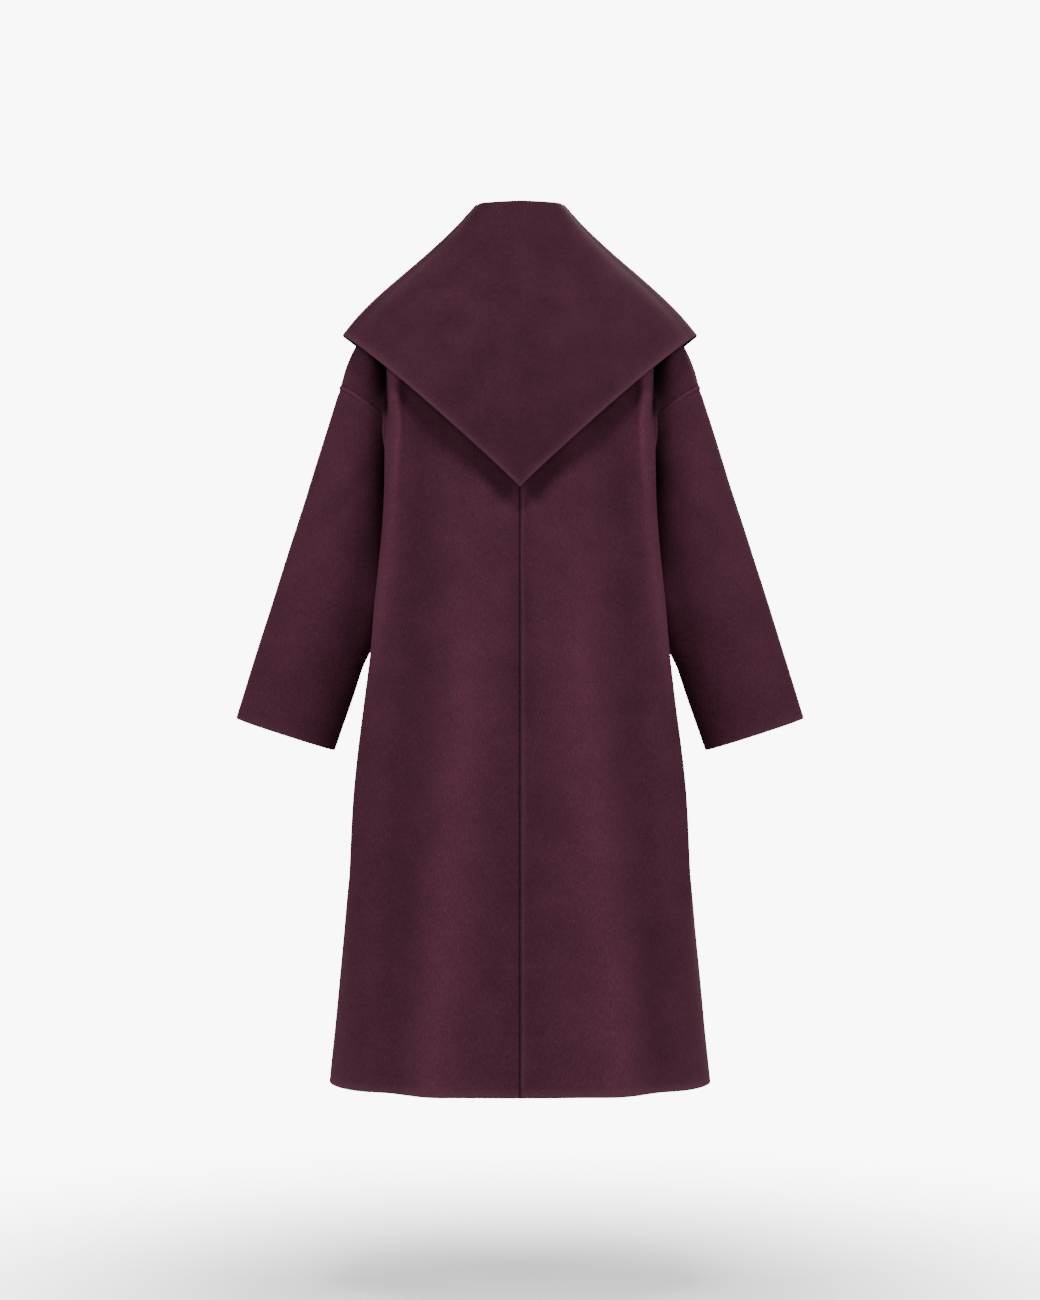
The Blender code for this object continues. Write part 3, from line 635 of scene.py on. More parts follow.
def grid_shares(columns):
    """Grid of u shares, and of rows: heights up to the armpit, then shares of the armhole."""
    skirt = np.linspace(HEM_Z, BREAK_Z, ROWS_SKIRT + 1)
    waist = np.linspace(BREAK_Z, ARMPIT_Z, ROWS_WAIST + 1)
    heights = np.concatenate((skirt, waist[1:-1]))
    climbs = np.linspace(0.0, 1.0, ROWS_ARMHOLE + 1)
    low_z, low_u = np.meshgrid(heights, columns, indexing="ij")
    high_v, high_u = np.meshgrid(climbs, columns, indexing="ij")
    return low_z, low_u, high_v, high_u


def relaxed(surface, last):
    """Panel eased up and down around the armpit's height, away from the side and up to the column named."""
    middle = ROWS_SKIRT + ROWS_WAIST
    low, high = middle - EASED_BELOW, middle + EASED_ABOVE
    eased = surface.copy()
    for _ in range(EASING_PASSES):
        mean = (eased[low - 1:high - 1, EASED_FROM:last] + eased[low + 1:high + 1, EASED_FROM:last]) / 2.0
        eased[low:high, EASED_FROM:last] += (mean - eased[low:high, EASED_FROM:last]) / 2.0
    return eased


def hump(distance, at, width):
    """Soft hump of height one."""
    return np.exp(-((distance - at) / width) ** 2)


def long_fold(row, x, z):
    """How far down a long fold each point lies, and the share of the fold that it takes."""
    down = np.clip((row.z_top - z) / (row.z_top - HEM_Z), 0.0, 1.0)
    centre = row.x_top + (row.x_hem - row.x_top) * down
    width = row.width_top + (row.width_hem - row.width_top) * down
    return down, smooth(row.z_top + FOLD_FADE, row.z_top, z) * hump(x, centre, width)


def drape(surface, side):
    """Long folds of the back, moved out or in from its centre line."""
    for fold in FOLDS:
        if fold.side != side:
            continue
        down, share = long_fold(fold, surface[..., X], surface[..., Z])
        rise = fold.rise_top + (fold.rise_hem - fold.rise_top) * down
        inside = smooth(0.0, FOLD_MARGIN, surface[..., X]) * smooth(0.0, FOLD_MARGIN, surface[..., Y])
        surface[..., Y] += rise * share * inside
    return surface


def back_panel(side):
    """Middle surface of one back panel: rows from hem to shoulder, columns from side to centre."""
    on_shoulder = np.linspace(0.0, NECK_SHARE, COLUMNS_SHOULDER + 1)
    on_neck = np.linspace(NECK_SHARE, 1.0, COLUMNS_NECK + 1)
    low_z, low_u, high_v, high_u = grid_shares(np.concatenate((on_shoulder, on_neck[1:])))
    surface = np.concatenate((back_section(low_z, low_u), upper_back(high_u, high_v)))
    surface = relaxed(surface, surface.shape[1] - 1)
    surface = drape(surface, side)
    surface[..., X] *= SIGN[side]
    return surface


def front_panel(side):
    """Middle surface of one front panel; the right one steps out over the left one."""
    columns = np.linspace(0.0, 1.0, COLUMNS_SHOULDER + 1)
    low_z, low_u, high_v, high_u = grid_shares(columns)
    surface = np.concatenate((front_section(low_z, low_u), upper_front(high_u, high_v)))
    surface = relaxed(surface, surface.shape[1])
    lapped = smooth(LAP_NONE_X, LAP_FULL_X, surface[..., X])
    lapped = lapped * smooth(LAP_NONE_Z, LAP_FULL_Z, surface[..., Z])
    surface[..., Y] += SIGN[side] * LAP_STEP * lapped
    surface[..., X] *= SIGN[side]
    return surface


def ring_angles():
    """Angles of the armhole's points: from the armpit over the back to the shoulder, then down the front."""
    half = np.linspace(np.pi, 0.0, ROWS_ARMHOLE + 1)
    return np.concatenate((half, -half[::-1][1:-1]))


def sleeve_tube(side, ring, ring_normals):
    """Middle surface of one sleeve: rings from the armhole to the cuff, columns around."""
    around = ring.shape[0]
    angle = ring_angles()
    outer, inner = np.array(CUFF_OUTER), np.array(CUFF_INNER)
    cuff = (outer + inner) / 2.0 + (outer - inner) / 2.0 * np.cos(angle)[:, None]
    cuff[:, Y] += CUFF_HALF_DEPTH * np.sin(angle)
    step = ARMHOLE_STEP * smooth(ARMHOLE_STEP_START, ARMHOLE_STEP_FULL, np.abs(angle))
    start = ring + ring_normals * step[:, None]
    bow = armhole_bow(angle)
    start[:, X] += bow
    length = np.linalg.norm(cuff - start, axis=1).mean()
    rows = []
    for share in np.linspace(ARMHOLE_GAP / length, 1.0, ROWS_SLEEVE + 1):
        row = start + (cuff - start) * share
        row[:, X] -= bow * (1.0 - share) ** 3
        inward = np.clip(-np.cos(angle), 0.0, 1.0)
        row[:, X] -= SLEEVE_INNER_BOW * inward * np.sin(np.pi * share)
        rows.append(row)
    tube = np.array(rows).reshape(ROWS_SLEEVE + 1, around, 3)
    tube[..., X] *= SIGN[side]
    return tube


def clear_sleeve(tube, tree):
    """Sleeve with the upper rows of its inner side lifted clear of the body."""
    inner = np.flatnonzero(np.abs(ring_angles()) > SLEEVE_CLEARED_FROM)
    near = tube[:SLEEVE_CLEARED_ROWS, inner]
    tube[:SLEEVE_CLEARED_ROWS, inner] = cleared(near, tree, SLEEVE_CLEARANCE, SLEEVE_REACH)
    return tube


def faces_of(rows, columns, closed):
    """Index quads of a grid; a closed grid joins its last column to its first."""
    quads = []
    last = columns if closed else columns - 1
    for row in range(rows - 1):
        for column in range(last):
            after = (column + 1) % columns
            quads.append((row * columns + column, row * columns + after,
                          (row + 1) * columns + after, (row + 1) * columns + column))
    return quads


def key_of(point):
    """Rounded place, the same for the points that two panels share at a seam."""
    return tuple(int(round(value / SAME_PLACE)) for value in point)


def add_normals(total, surface, closed, flip):
    """Add a panel's face normals to the sum kept for each place."""
    flat = surface.reshape(-1, 3)
    for quad in faces_of(surface.shape[0], surface.shape[1], closed):
        a, b, c, d = (flat[index] for index in quad)
        normal = np.cross(c - a, d - b) * flip
        for index in quad:
            key = key_of(flat[index])
            total[key] = total.get(key, 0.0) + normal


def normals_of(total, surface):
    """Unit normals of a panel's points, read from the sums."""
    flat = [total[key_of(point)] for point in surface.reshape(-1, 3)]
    return unit(np.array(flat)).reshape(surface.shape)


def collar_columns(side, back, front, total):
    """Neck points of one half from the centre back to the front end, with station, run and outward way."""
    neck = back[-1, COLUMNS_SHOULDER:][::-1]
    neck_station = np.linspace(0.0, 1.0, COLUMNS_NECK + 1)
    skipped = COLLAR_SKIPPED_LEFT if side == "left" else -ROWS_WAIST
    first_row = ROWS_SKIRT + ROWS_WAIST + skipped
    edge = front[first_row:-1, -1][::-1]
    inside = front[first_row:-1, -2][::-1]
    edge_station = 1.0 + np.linspace(0.0, 1.0, len(edge) + 1)[1:]
    place = np.concatenate((neck, edge))
    station = np.concatenate((neck_station, edge_station))
    run = np.concatenate((np.zeros_like(neck), unit(edge - inside)))
    return place, station, run, normals_of(total, place)


def collar_edge(side, station, end):
    """Outer edge of the collar: from its tip over the shoulder to the front end."""
    flip = np.array((SIGN[side], 1.0, 1.0))
    if station <= 1.0:
        return bezier((COLLAR_TIP, COLLAR_BACK_HANDLE, COLLAR_CORNER), station) * flip
    last = end * flip
    return bezier((COLLAR_CORNER, COLLAR_FRONT_HANDLES[side], last), station - 1.0) * flip


def collar_column(neck, station, run, way, edge):
    """One strip of the collar: up the stand, over the roll and down the fall to the outer edge."""
    stand, lean, roll = (read(COLLAR_STAND, "station", size, station) for size in ("stand", "lean", "roll"))
    on_front = smooth(COLLAR_FRONT_START, COLLAR_FRONT_FULL, station)
    upright = unit(np.array((-lean * neck[X] / NECK_HALF, -lean * neck[Y] / NECK_DEPTH, 1.0)))
    rise = unit(upright + (run - upright) * on_front)
    top = neck + rise * stand
    out = unit(edge - top)
    out = out + (way - out) * on_front
    out = unit(out - rise * np.dot(out, rise))
    centre = top + out * roll
    fall = unit(edge - centre)
    sweep = np.arccos(np.clip(np.dot(fall, rise), -1.0, 1.0))
    strip = [neck + rise * stand * share for share in np.linspace(0.0, 1.0, COLLAR_STAND_ROWS + 1)]
    for turn in np.linspace(0.0, sweep, COLLAR_ROLL_ROWS + 1)[1:]:
        strip.append(centre - out * roll * np.cos(turn) + rise * roll * np.sin(turn))
    start = strip[-1]
    bulge_way = unit(np.cross(np.cross(fall, rise), fall))
    for share in np.linspace(0.0, 1.0, COLLAR_FALL_ROWS + 1)[1:]:
        swell = (share - COLLAR_BULGE_START) * np.sin(np.pi * share)
        bulge = COLLAR_BULGE * swell * smooth(COLLAR_LAST, COLLAR_BULGE_LAST, station)
        strip.append(start + (edge - start) * share + bulge_way * bulge)
    return np.array(strip)


def collar_surface(panels, total, tree, left_tree):
    """Middle surface of the collar: columns from the left front end round the neck to the right end."""
    halves = {}
    for side in SIGN:
        columns = collar_columns(side, panels["back_" + side], panels["front_" + side], total)
        last_place, _, last_run, last_way = (column[-1] for column in columns)
        end = last_place - last_run * COLLAR_END_WIDTH + last_way * COLLAR_CLEARANCE
        strips = [collar_column(place, station, run, way, collar_edge(side, station, end))
                  for place, station, run, way in zip(*columns)]
        halves[side] = np.array(strips)
    first_fall = COLLAR_STAND_ROWS + COLLAR_ROLL_ROWS + 1
    rolled = cleared(halves["right"][:, 1:first_fall], left_tree, LAP_CLEARANCE, LAP_REACH)
    halves["right"][:, 1:first_fall] = rolled
    surface = np.concatenate((halves["left"][::-1], halves["right"][1:])).transpose(1, 0, 2)
    fall = cleared(surface[first_fall:], tree, COLLAR_CLEARANCE, COLLAR_REACH)
    return np.concatenate((surface[:first_fall], fall))


def cleared(surface, tree, clearance, reach):
    """Surface whose points over another one, no further off its edge than reach, are lifted clear."""
    lifted = surface.copy()
    for index in np.ndindex(surface.shape[:2]):
        point = Vector(surface[index])
        for _ in range(CLEARING_PASSES):
            place, normal, _, _ = tree.find_nearest(point)
            height = (point - place).dot(normal)
            aside = (point - place - normal * height).length
            if height >= clearance or aside > reach:
                break
            point += normal * (clearance - height)
        lifted[index] = point
    return lifted


def shell_tree(surfaces):
    """Search tree over middle surfaces, with their outward normals."""
    vertices, faces = [], []
    for surface, closed, flip in surfaces:
        start = len(vertices)
        vertices += [Vector(point) for point in surface.reshape(-1, 3)]
        for quad in faces_of(surface.shape[0], surface.shape[1], closed):
            order = quad if flip > 0 else tuple(reversed(quad))
            faces.append([start + index for index in order])
    return BVHTree.FromPolygons(vertices, faces)


def coat_surfaces():
    """Coarse middle surface of every piece of cloth, with the way each one faces."""
    flips = {"back_left": 1.0, "back_right": -1.0, "front_left": -1.0, "front_right": 1.0}
    panels = {"back_" + side: back_panel(side) for side in SIGN}
    panels.update({"front_" + side: front_panel(side) for side in SIGN})
    left_tree = shell_tree([(panels["front_left"], False, flips["front_left"])])
    panels["front_right"] = cleared(panels["front_right"], left_tree, LAP_CLEARANCE, LAP_REACH)
    total = {}
    for name, surface in panels.items():
        add_normals(total, surface, False, flips[name])
    pieces = {name: (surface, False, flips[name]) for name, surface in panels.items()}
    under = list(pieces.values())
    body_tree = shell_tree(under)
    first = ROWS_SKIRT + ROWS_WAIST
    for side in SIGN:
        rings = [panels["back_" + side][first:, 0], panels["front_" + side][first + 1:-1, 0][::-1]]
        ring = np.concatenate(rings)
        ring_normals = normals_of(total, ring[None])[0]
        mirror = np.array((SIGN[side], 1.0, 1.0))
        tube = clear_sleeve(sleeve_tube(side, ring * mirror, ring_normals * mirror), body_tree)
        under.append((tube, True, SIGN[side]))
        below = tube[0] + unit(tube[1] - tube[0]) * SLEEVE_HEAD
        pieces["sleeve_" + side] = (np.concatenate((ring[None], below[None], tube[1:])), True, SIGN[side])
    collar = collar_surface(panels, total, shell_tree(under), left_tree)
    pieces["collar"] = (collar, False, -1.0)
    return pieces


def spline(surface, places, closed):
    """Smooth curves through the rows of a grid, read at places counted in rows."""
    if closed:
        wide = np.concatenate((surface[-1:], surface, surface[:3]))
        low = np.floor(places).astype(int)
    else:
        first = 2.0 * surface[:1] - surface[1:2]
        last = 2.0 * surface[-1:] - surface[-2:-1]
        wide = np.concatenate((first, surface, last))
        low = np.minimum(np.floor(places).astype(int), len(surface) - 2)
    share = (places - low)[:, None, None]
    a, b, c, d = (wide[low + step] for step in range(4))
    return (2.0 * b + (c - a) * share + (2.0 * a - 5.0 * b + 4.0 * c - d) * share ** 2
            + (3.0 * b - a - 3.0 * c + d) * share ** 3) / 2.0


def grid_places(count, each, first_each, last_each):
    """Reading places along so many coarse steps, closer in the first and the last one."""
    first = np.linspace(0.0, 1.0, first_each, endpoint=False)
    middle = np.linspace(1.0, count - 1.0, (count - 2) * each, endpoint=False)
    last = np.linspace(count - 1.0, count, last_each + 1)
    return np.concatenate((first, middle, last))


def refined(name, surface, closed):
    """Fine grid of one piece."""
    rows, columns = surface.shape[:2]
    if closed:
        down = grid_places(rows - 1, SLEEVE_ROWS_EACH, EDGE_EACH, SLEEVE_ROWS_EACH)
        across = np.linspace(0.0, columns, columns * SLEEVE_COLUMNS_EACH, endpoint=False)
    elif name == "collar":
        down = grid_places(rows - 1, COLLAR_ROWS_EACH, COLLAR_ROWS_EACH, COLLAR_ROWS_EACH)
        across = grid_places(columns - 1, COLLAR_COLUMNS_EACH, COLLAR_COLUMNS_EACH, COLLAR_COLUMNS_EACH)
    else:
        down = grid_places(rows - 1, PANEL_ROWS_EACH, PANEL_ROWS_EACH, PANEL_ROWS_EACH)
        across = grid_places(columns - 1, PANEL_COLUMNS_EACH, EDGE_EACH, EDGE_EACH)
    fine = spline(surface, down, False).transpose(1, 0, 2)
    curved = spline(fine, across, closed)
    if name == "collar":
        centre = np.argmin(np.abs(surface[-1, :, X]))
        halves = (spline(fine[:centre + 1], across[across < centre], False),
                  spline(fine[centre:], across[across >= centre] - centre, False))
        sharp = smooth(POINT_START, 1.0, np.linspace(0.0, 1.0, len(down)))[None, :, None]
        curved += (np.concatenate(halves) - curved) * sharp
    return curved.transpose(1, 0, 2)


def grid_normals(surface, closed, flip):
    """Outward unit normals of a fine grid."""
    down = np.gradient(surface, axis=0)
    if closed:
        across = np.roll(surface, -1, axis=1) - np.roll(surface, 1, axis=1)
    else:
        across = np.gradient(surface, axis=1)
    return unit(np.cross(across, down)) * flip


def rim_of(rows, columns, closed):
    """Index loops around the open edges of a grid."""
    low = np.arange(columns)
    high = low + (rows - 1) * columns
    if closed:
        return [low, high]
    first = np.arange(1, rows - 1) * columns
    return [np.concatenate((low, first + columns - 1, high[::-1], first[::-1]))]


def share_seam_normals(normals, surfaces):
    """Give the panels one common normal wherever their edges meet."""
    total = {}
    loops = {name: rim_of(*surface.shape[:2], False)[0] for name, surface in surfaces.items()}
    for name, loop in loops.items():
        for place, normal in zip(surfaces[name].reshape(-1, 3)[loop], normals[name].reshape(-1, 3)[loop]):
            key = key_of(place)
            total[key] = total.get(key, 0.0) + normal
    for name, loop in loops.items():
        flat = normals[name].reshape(-1, 3)
        flat[loop] = unit(np.array([total[key_of(place)] for place in surfaces[name].reshape(-1, 3)[loop]]))


def lengths(surface, axis):
    """Distance from the first point along the rows or the columns of a grid."""
    steps = np.linalg.norm(np.diff(surface, axis=axis), axis=-1)
    start = np.zeros_like(np.take(steps, [0], axis=axis))
    return np.concatenate((start, np.cumsum(steps, axis=axis)), axis=axis)


def crease_lift(name, across, down):
    """Height of the soft creases of one piece, drawn along lines on its flat cut."""
    lift = np.zeros_like(across)
    width, height = across.max(), down.max()
    for crease in CREASES:
        if crease.piece != name:
            continue
        start = np.array((crease.across_start * width, crease.down_start * height))
        way = np.array((crease.across_end * width, crease.down_end * height)) - start
        offset = np.stack((across, down), axis=-1) - start
        along = np.clip(offset @ way / (way @ way), 0.0, 1.0)
        aside = np.linalg.norm(offset - along[..., None] * way, axis=-1)
        fade = smooth(0.0, CREASE_FADE, along) * smooth(1.0, 1.0 - CREASE_FADE, along)
        lift += crease.rise * fade * hump(aside, 0.0, crease.width)
    return lift


def side_fold_at(surface):
    """How far each point lies past the edge of the side fold, with the fall, sink and draw there."""
    x, y, z = np.abs(surface[..., X]), surface[..., Y], surface[..., Z]
    heights, edge, *amounts = (np.array(column) for column in zip(*SIDE_FOLD))
    (top, top_y), (low, low_y) = ARM_MIDDLE
    rear = smooth(REAR_START, REAR_FULL, y - np.interp(z, (low, top), (low_y, top_y)))
    return [x - np.interp(z, heights, edge)] + [np.interp(z, heights, amount) * rear for amount in amounts]


def side_folded(kind, surface):
    """Back or sleeve with the fold beside the arm: a proud edge, and cloth that falls away behind it."""
    if kind not in ("back", "sleeve"):
        return surface
    past, fall, sink, draw = side_fold_at(surface)
    beyond = np.maximum(past, 0.0)
    drop = fall * smooth(0.0, FOLD_EDGE, past) * np.exp(-beyond / FOLD_REACH)
    full = np.clip((fall + sink) / SIDE_FOLD_FULL, 0.0, 1.0)
    rise = EDGE_RISE * full * hump(past, EDGE_RISE_AT, EDGE_RISE_WIDTH)
    if kind == "sleeve":
        loose = smooth(0.0, SINK_HEAD, lengths(surface, 0))
        drop += sink * loose * np.exp(-beyond / SINK_REACH)
        rise *= 1.0 - loose
    moved = surface.copy()
    moved[..., Y] -= drop - rise
    drawn = draw * smooth(DRAW_START, 0.0, past) * np.exp(-beyond / FOLD_REACH)
    moved[..., X] -= np.sign(surface[..., X]) * drawn
    return moved


def flare_lift(name, normals, down):
    """Height of the collar's outer edge off the back."""
    if name != "collar":
        return np.zeros_like(down)
    outer = smooth(FLARE_START, 1.0, down / down.max(axis=0, keepdims=True))
    return FLARE_RISE * outer * smooth(FLARE_TURN, FLARE_FULL, normals[..., Y])


def painted_light_of(name, surface):
    """Painted light of each point: painted shade in a hollow, in the side fold and over the collar, painted
    highlight on a ridge and on the fold's edge.
    """
    tone = np.zeros(surface.shape[:2])
    # Painted shade over the whole collar
    if name == "collar":
        return tone + COLLAR_PAINTED_SHADE
    if name.startswith("front"):
        return tone
    past, fall, sink, _ = side_fold_at(surface)
    # Painted shade in the hollow beside the side fold's edge
    hollow = smooth(0.0, FOLD_EDGE, past) * smooth(FOLD_HOLLOW, FOLD_EDGE, past)
    if name.startswith("sleeve"):
        return -FOLD_PAINTED_SHADE * np.clip((fall + sink) / SIDE_FOLD_FULL, 0.0, 1.0) * hollow
    x, z = np.abs(surface[..., X]), surface[..., Z]
    # Painted highlight along the fold's edge on the back
    along = smooth(HIGHLIGHT_END - FOLD_FADE, HIGHLIGHT_END, z) * smooth(HIGHLIGHT_START, HIGHLIGHT_START - FOLD_MARGIN, z)
    beside = FOLD_PAINTED_HIGHLIGHT * along * hump(past, EDGE_RISE_AT, EDGE_RISE_WIDTH)
    beside -= FOLD_PAINTED_SHADE * np.minimum(fall / SIDE_FOLD_FULL, 1.0) * hollow
    # Painted highlight on the ridges, painted shade in the hollows and beside the centre seam
    for row in PAINTED_FOLD_LIGHT:
        if name.endswith(row.side):
            tone += row.tone * long_fold(row, x, z)[1]
    return beside + tone * smooth(0.0, FOLD_MARGIN, surface[..., Y])


def seam_lift(name, across, down):
    """Relief along the sewn edges."""
    if name == "back_right":
        return LAP_RISE * hump(across.max(axis=1, keepdims=True) - across, LAP_AT, LAP_WIDTH)
    if name == "back_left":
        return LAP_TUCK * hump(across.max(axis=1, keepdims=True) - across, 0.0, TUCK_WIDTH)
    if name.startswith("sleeve"):
        welt = WELT_RISE * hump(down, WELT_AT, WELT_WIDTH)
        return welt + WELT_TUCK * hump(down, WELT_TUCK_AT, WELT_TUCK_WIDTH)
    return np.zeros_like(across)


def uneven_lift(surface):
    """Slow waves of cloth that hangs freely."""
    flat = [noise.noise(Vector(place) / UNEVEN_SIZE) for place in surface.reshape(-1, 3)]
    return UNEVEN_RISE * np.array(flat).reshape(surface.shape[:2])


def edge_rounds(kind, surface, closed):
    """Ways out of the cloth along its edges, as long as each edge is round, zero inside."""
    edges = {"first_row": (np.s_[0], np.s_[1]), "last_row": (np.s_[-1], np.s_[-2])}
    if not closed:
        edges["first_column"] = (np.s_[:, 0], np.s_[:, 1])
        edges["last_column"] = (np.s_[:, -1], np.s_[:, -2])
    ways = np.zeros_like(surface)
    for edge, (outer, inner) in edges.items():
        reach = EDGE_ROUND if edge in FREE_EDGES[kind] else SEWN_ROUND
        ways[outer] += unit(surface[outer] - surface[inner]) * reach
    return ways


def edge_marks(kind, across, down, closed):
    """How near each point is to an open edge of the cloth, and to a sewn one."""
    near = {"first_row": down, "last_row": down.max(axis=0, keepdims=True) - down}
    if not closed:
        near["first_column"] = across
        near["last_column"] = across.max(axis=1, keepdims=True) - across
    free = np.minimum.reduce([near.pop(edge) for edge in FREE_EDGES[kind]])
    shares = {edge: SEWN_SHADOW_SHARE.get((kind, edge), SEWN_SHADOW_ELSEWHERE) for edge in near}
    sewn = np.maximum.reduce([shares[edge] * np.exp(-near[edge] / SEAM_SHADOW_FADE) for edge in near])
    return np.exp(-free / EDGE_FADE).reshape(-1), sewn.reshape(-1)


def shade_marks(name, across, down, closed):
    """Marks of the piece's edges, for the painted highlight along its open edges and the painted shadow
    along its sewn ones; the ridges of the centre seam's lap and of the welts take part of the painted
    highlight.
    """
    marked, sewn = edge_marks(name.split("_")[0], across, down, closed)
    if name == "back_right":
        lap = hump(across.max(axis=1, keepdims=True) - across, LAP_AT, LAP_WIDTH).reshape(-1)
        marked = np.maximum(marked, LAP_HIGHLIGHT * lap)
    if closed:
        marked = np.maximum(marked, WELT_HIGHLIGHT * hump(down, WELT_AT, WELT_WIDTH).reshape(-1))
    return marked, sewn


def new_object(name, data):
    """New object at the origin, for a mesh, a light or the camera."""
    item = bpy.data.objects.new(name, data)
    bpy.context.scene.collection.objects.link(item)
    return item


def new_mesh(name, vertices, faces):
    """Mesh with its faces turned outwards."""
    mesh = bpy.data.meshes.new(name)
    mesh.from_pydata(vertices, [], faces)
    body = bmesh.new()
    body.from_mesh(mesh)
    bmesh.ops.recalc_face_normals(body, faces=body.faces)
    body.to_mesh(mesh)
    body.free()
    return mesh


def cloth_shell(name, surface, normals, tone, closed, material):
    """Closed thin shell of cloth with rounded edges, a flat-cut UV map and its edges marked."""
    rows, columns = surface.shape[:2]
    count = rows * columns
    across, down = lengths(surface, 1), lengths(surface, 0)
    marked, sewn = shade_marks(name, across, down, closed)
    flat_cut = np.stack((across, down), axis=-1).reshape(-1, 2) * METRES_PER_MM
    out = edge_rounds(name.split("_")[0], surface, closed).reshape(-1, 3)
    way = normals.reshape(-1, 3) * WALL / 2.0
    middle = surface.reshape(-1, 3) - out
    # Outer face, inner face, then the rounded edges, each vertex with the grid point that it is taken from
    whole = np.arange(count)
    layers, taken = [middle + way, middle - way], [whole, whole]
    quads = faces_of(rows, columns, closed)
    faces = quads + [tuple(count + index for index in reversed(quad)) for quad in quads]
    start = 2 * count
    for loop in rim_of(rows, columns, closed):
        strips = [loop]
        for step in range(1, EDGE_STEPS):
            turn = np.pi * step / EDGE_STEPS
            layers.append(middle[loop] + way[loop] * np.cos(turn) + out[loop] * np.sin(turn))
            taken.append(loop)
            strips.append(np.arange(start, start + len(loop)))
            start += len(loop)
        strips.append(loop + count)
        for near, far in zip(strips, strips[1:]):
            faces += list(zip(near, np.roll(near, -1), np.roll(far, -1), far))
    mesh = new_mesh(name, (np.concatenate(layers) * METRES_PER_MM).tolist(),
                    [tuple(int(index) for index in face) for face in faces])
    mesh.shade_smooth()
    taken = np.concatenate(taken)
    # Marks for the painted highlight of the edges, the painted shadow of the seams, the painted shade and
    # highlight of the folds, and the density of the nap
    marks = {"edge": marked[taken], "seam": sewn[taken], "bloom": tone.reshape(-1)[taken],
             "nap": NAP_EDGE_SHARE * marked[taken]}
    inner_face = slice(count, 2 * count)
    marks["bloom"][inner_face] = 0.0
    marks["nap"][:count] = 1.0
    marks["nap"][inner_face] = 0.0
    for label, values in marks.items():
        attribute = mesh.attributes.new(label, "FLOAT", "POINT")
        attribute.data.foreach_set("value", values.astype(np.float32))
    corner = np.empty(len(mesh.loops), dtype=np.int32)
    mesh.loops.foreach_get("vertex_index", corner)
    cut_map = mesh.uv_layers.new(name="flat_cut")
    cut_map.data.foreach_set("uv", flat_cut[taken[corner]].astype(np.float32).reshape(-1))
    mesh.materials.append(material)
    return new_object(name + "_cloth", mesh)


def add(tree, kind, inputs=None, **settings):
    """Add a node to a tree with its settings, and set or link its inputs."""
    made = tree.nodes.new(kind)
    for name, value in settings.items():
        setattr(made, name, value)
    for name, value in (inputs or {}).items():
        if isinstance(value, bpy.types.NodeSocket):
            tree.links.new(value, made.inputs[name])
        else:
            made.inputs[name].default_value = value
    return made


def linear(code):
    """Linear colour of an sRGB hex value."""
    parts = [int(code[start:start + 2], 16) / 255.0 for start in (1, 3, 5)]
    return tuple(part / 12.92 if part <= 0.04045 else ((part + 0.055) / 1.055) ** 2.4
                 for part in parts) + (1.0,)


def per_metre(size_mm):
    """Noise scale whose features are about the given size."""
    return 1.0 / (size_mm * METRES_PER_MM)


def new_material(name):
    """Material with its shader, ready for nodes."""
    material = bpy.data.materials.new(name)
    material.use_nodes = True
    return material, material.node_tree, material.node_tree.nodes["Principled BSDF"]


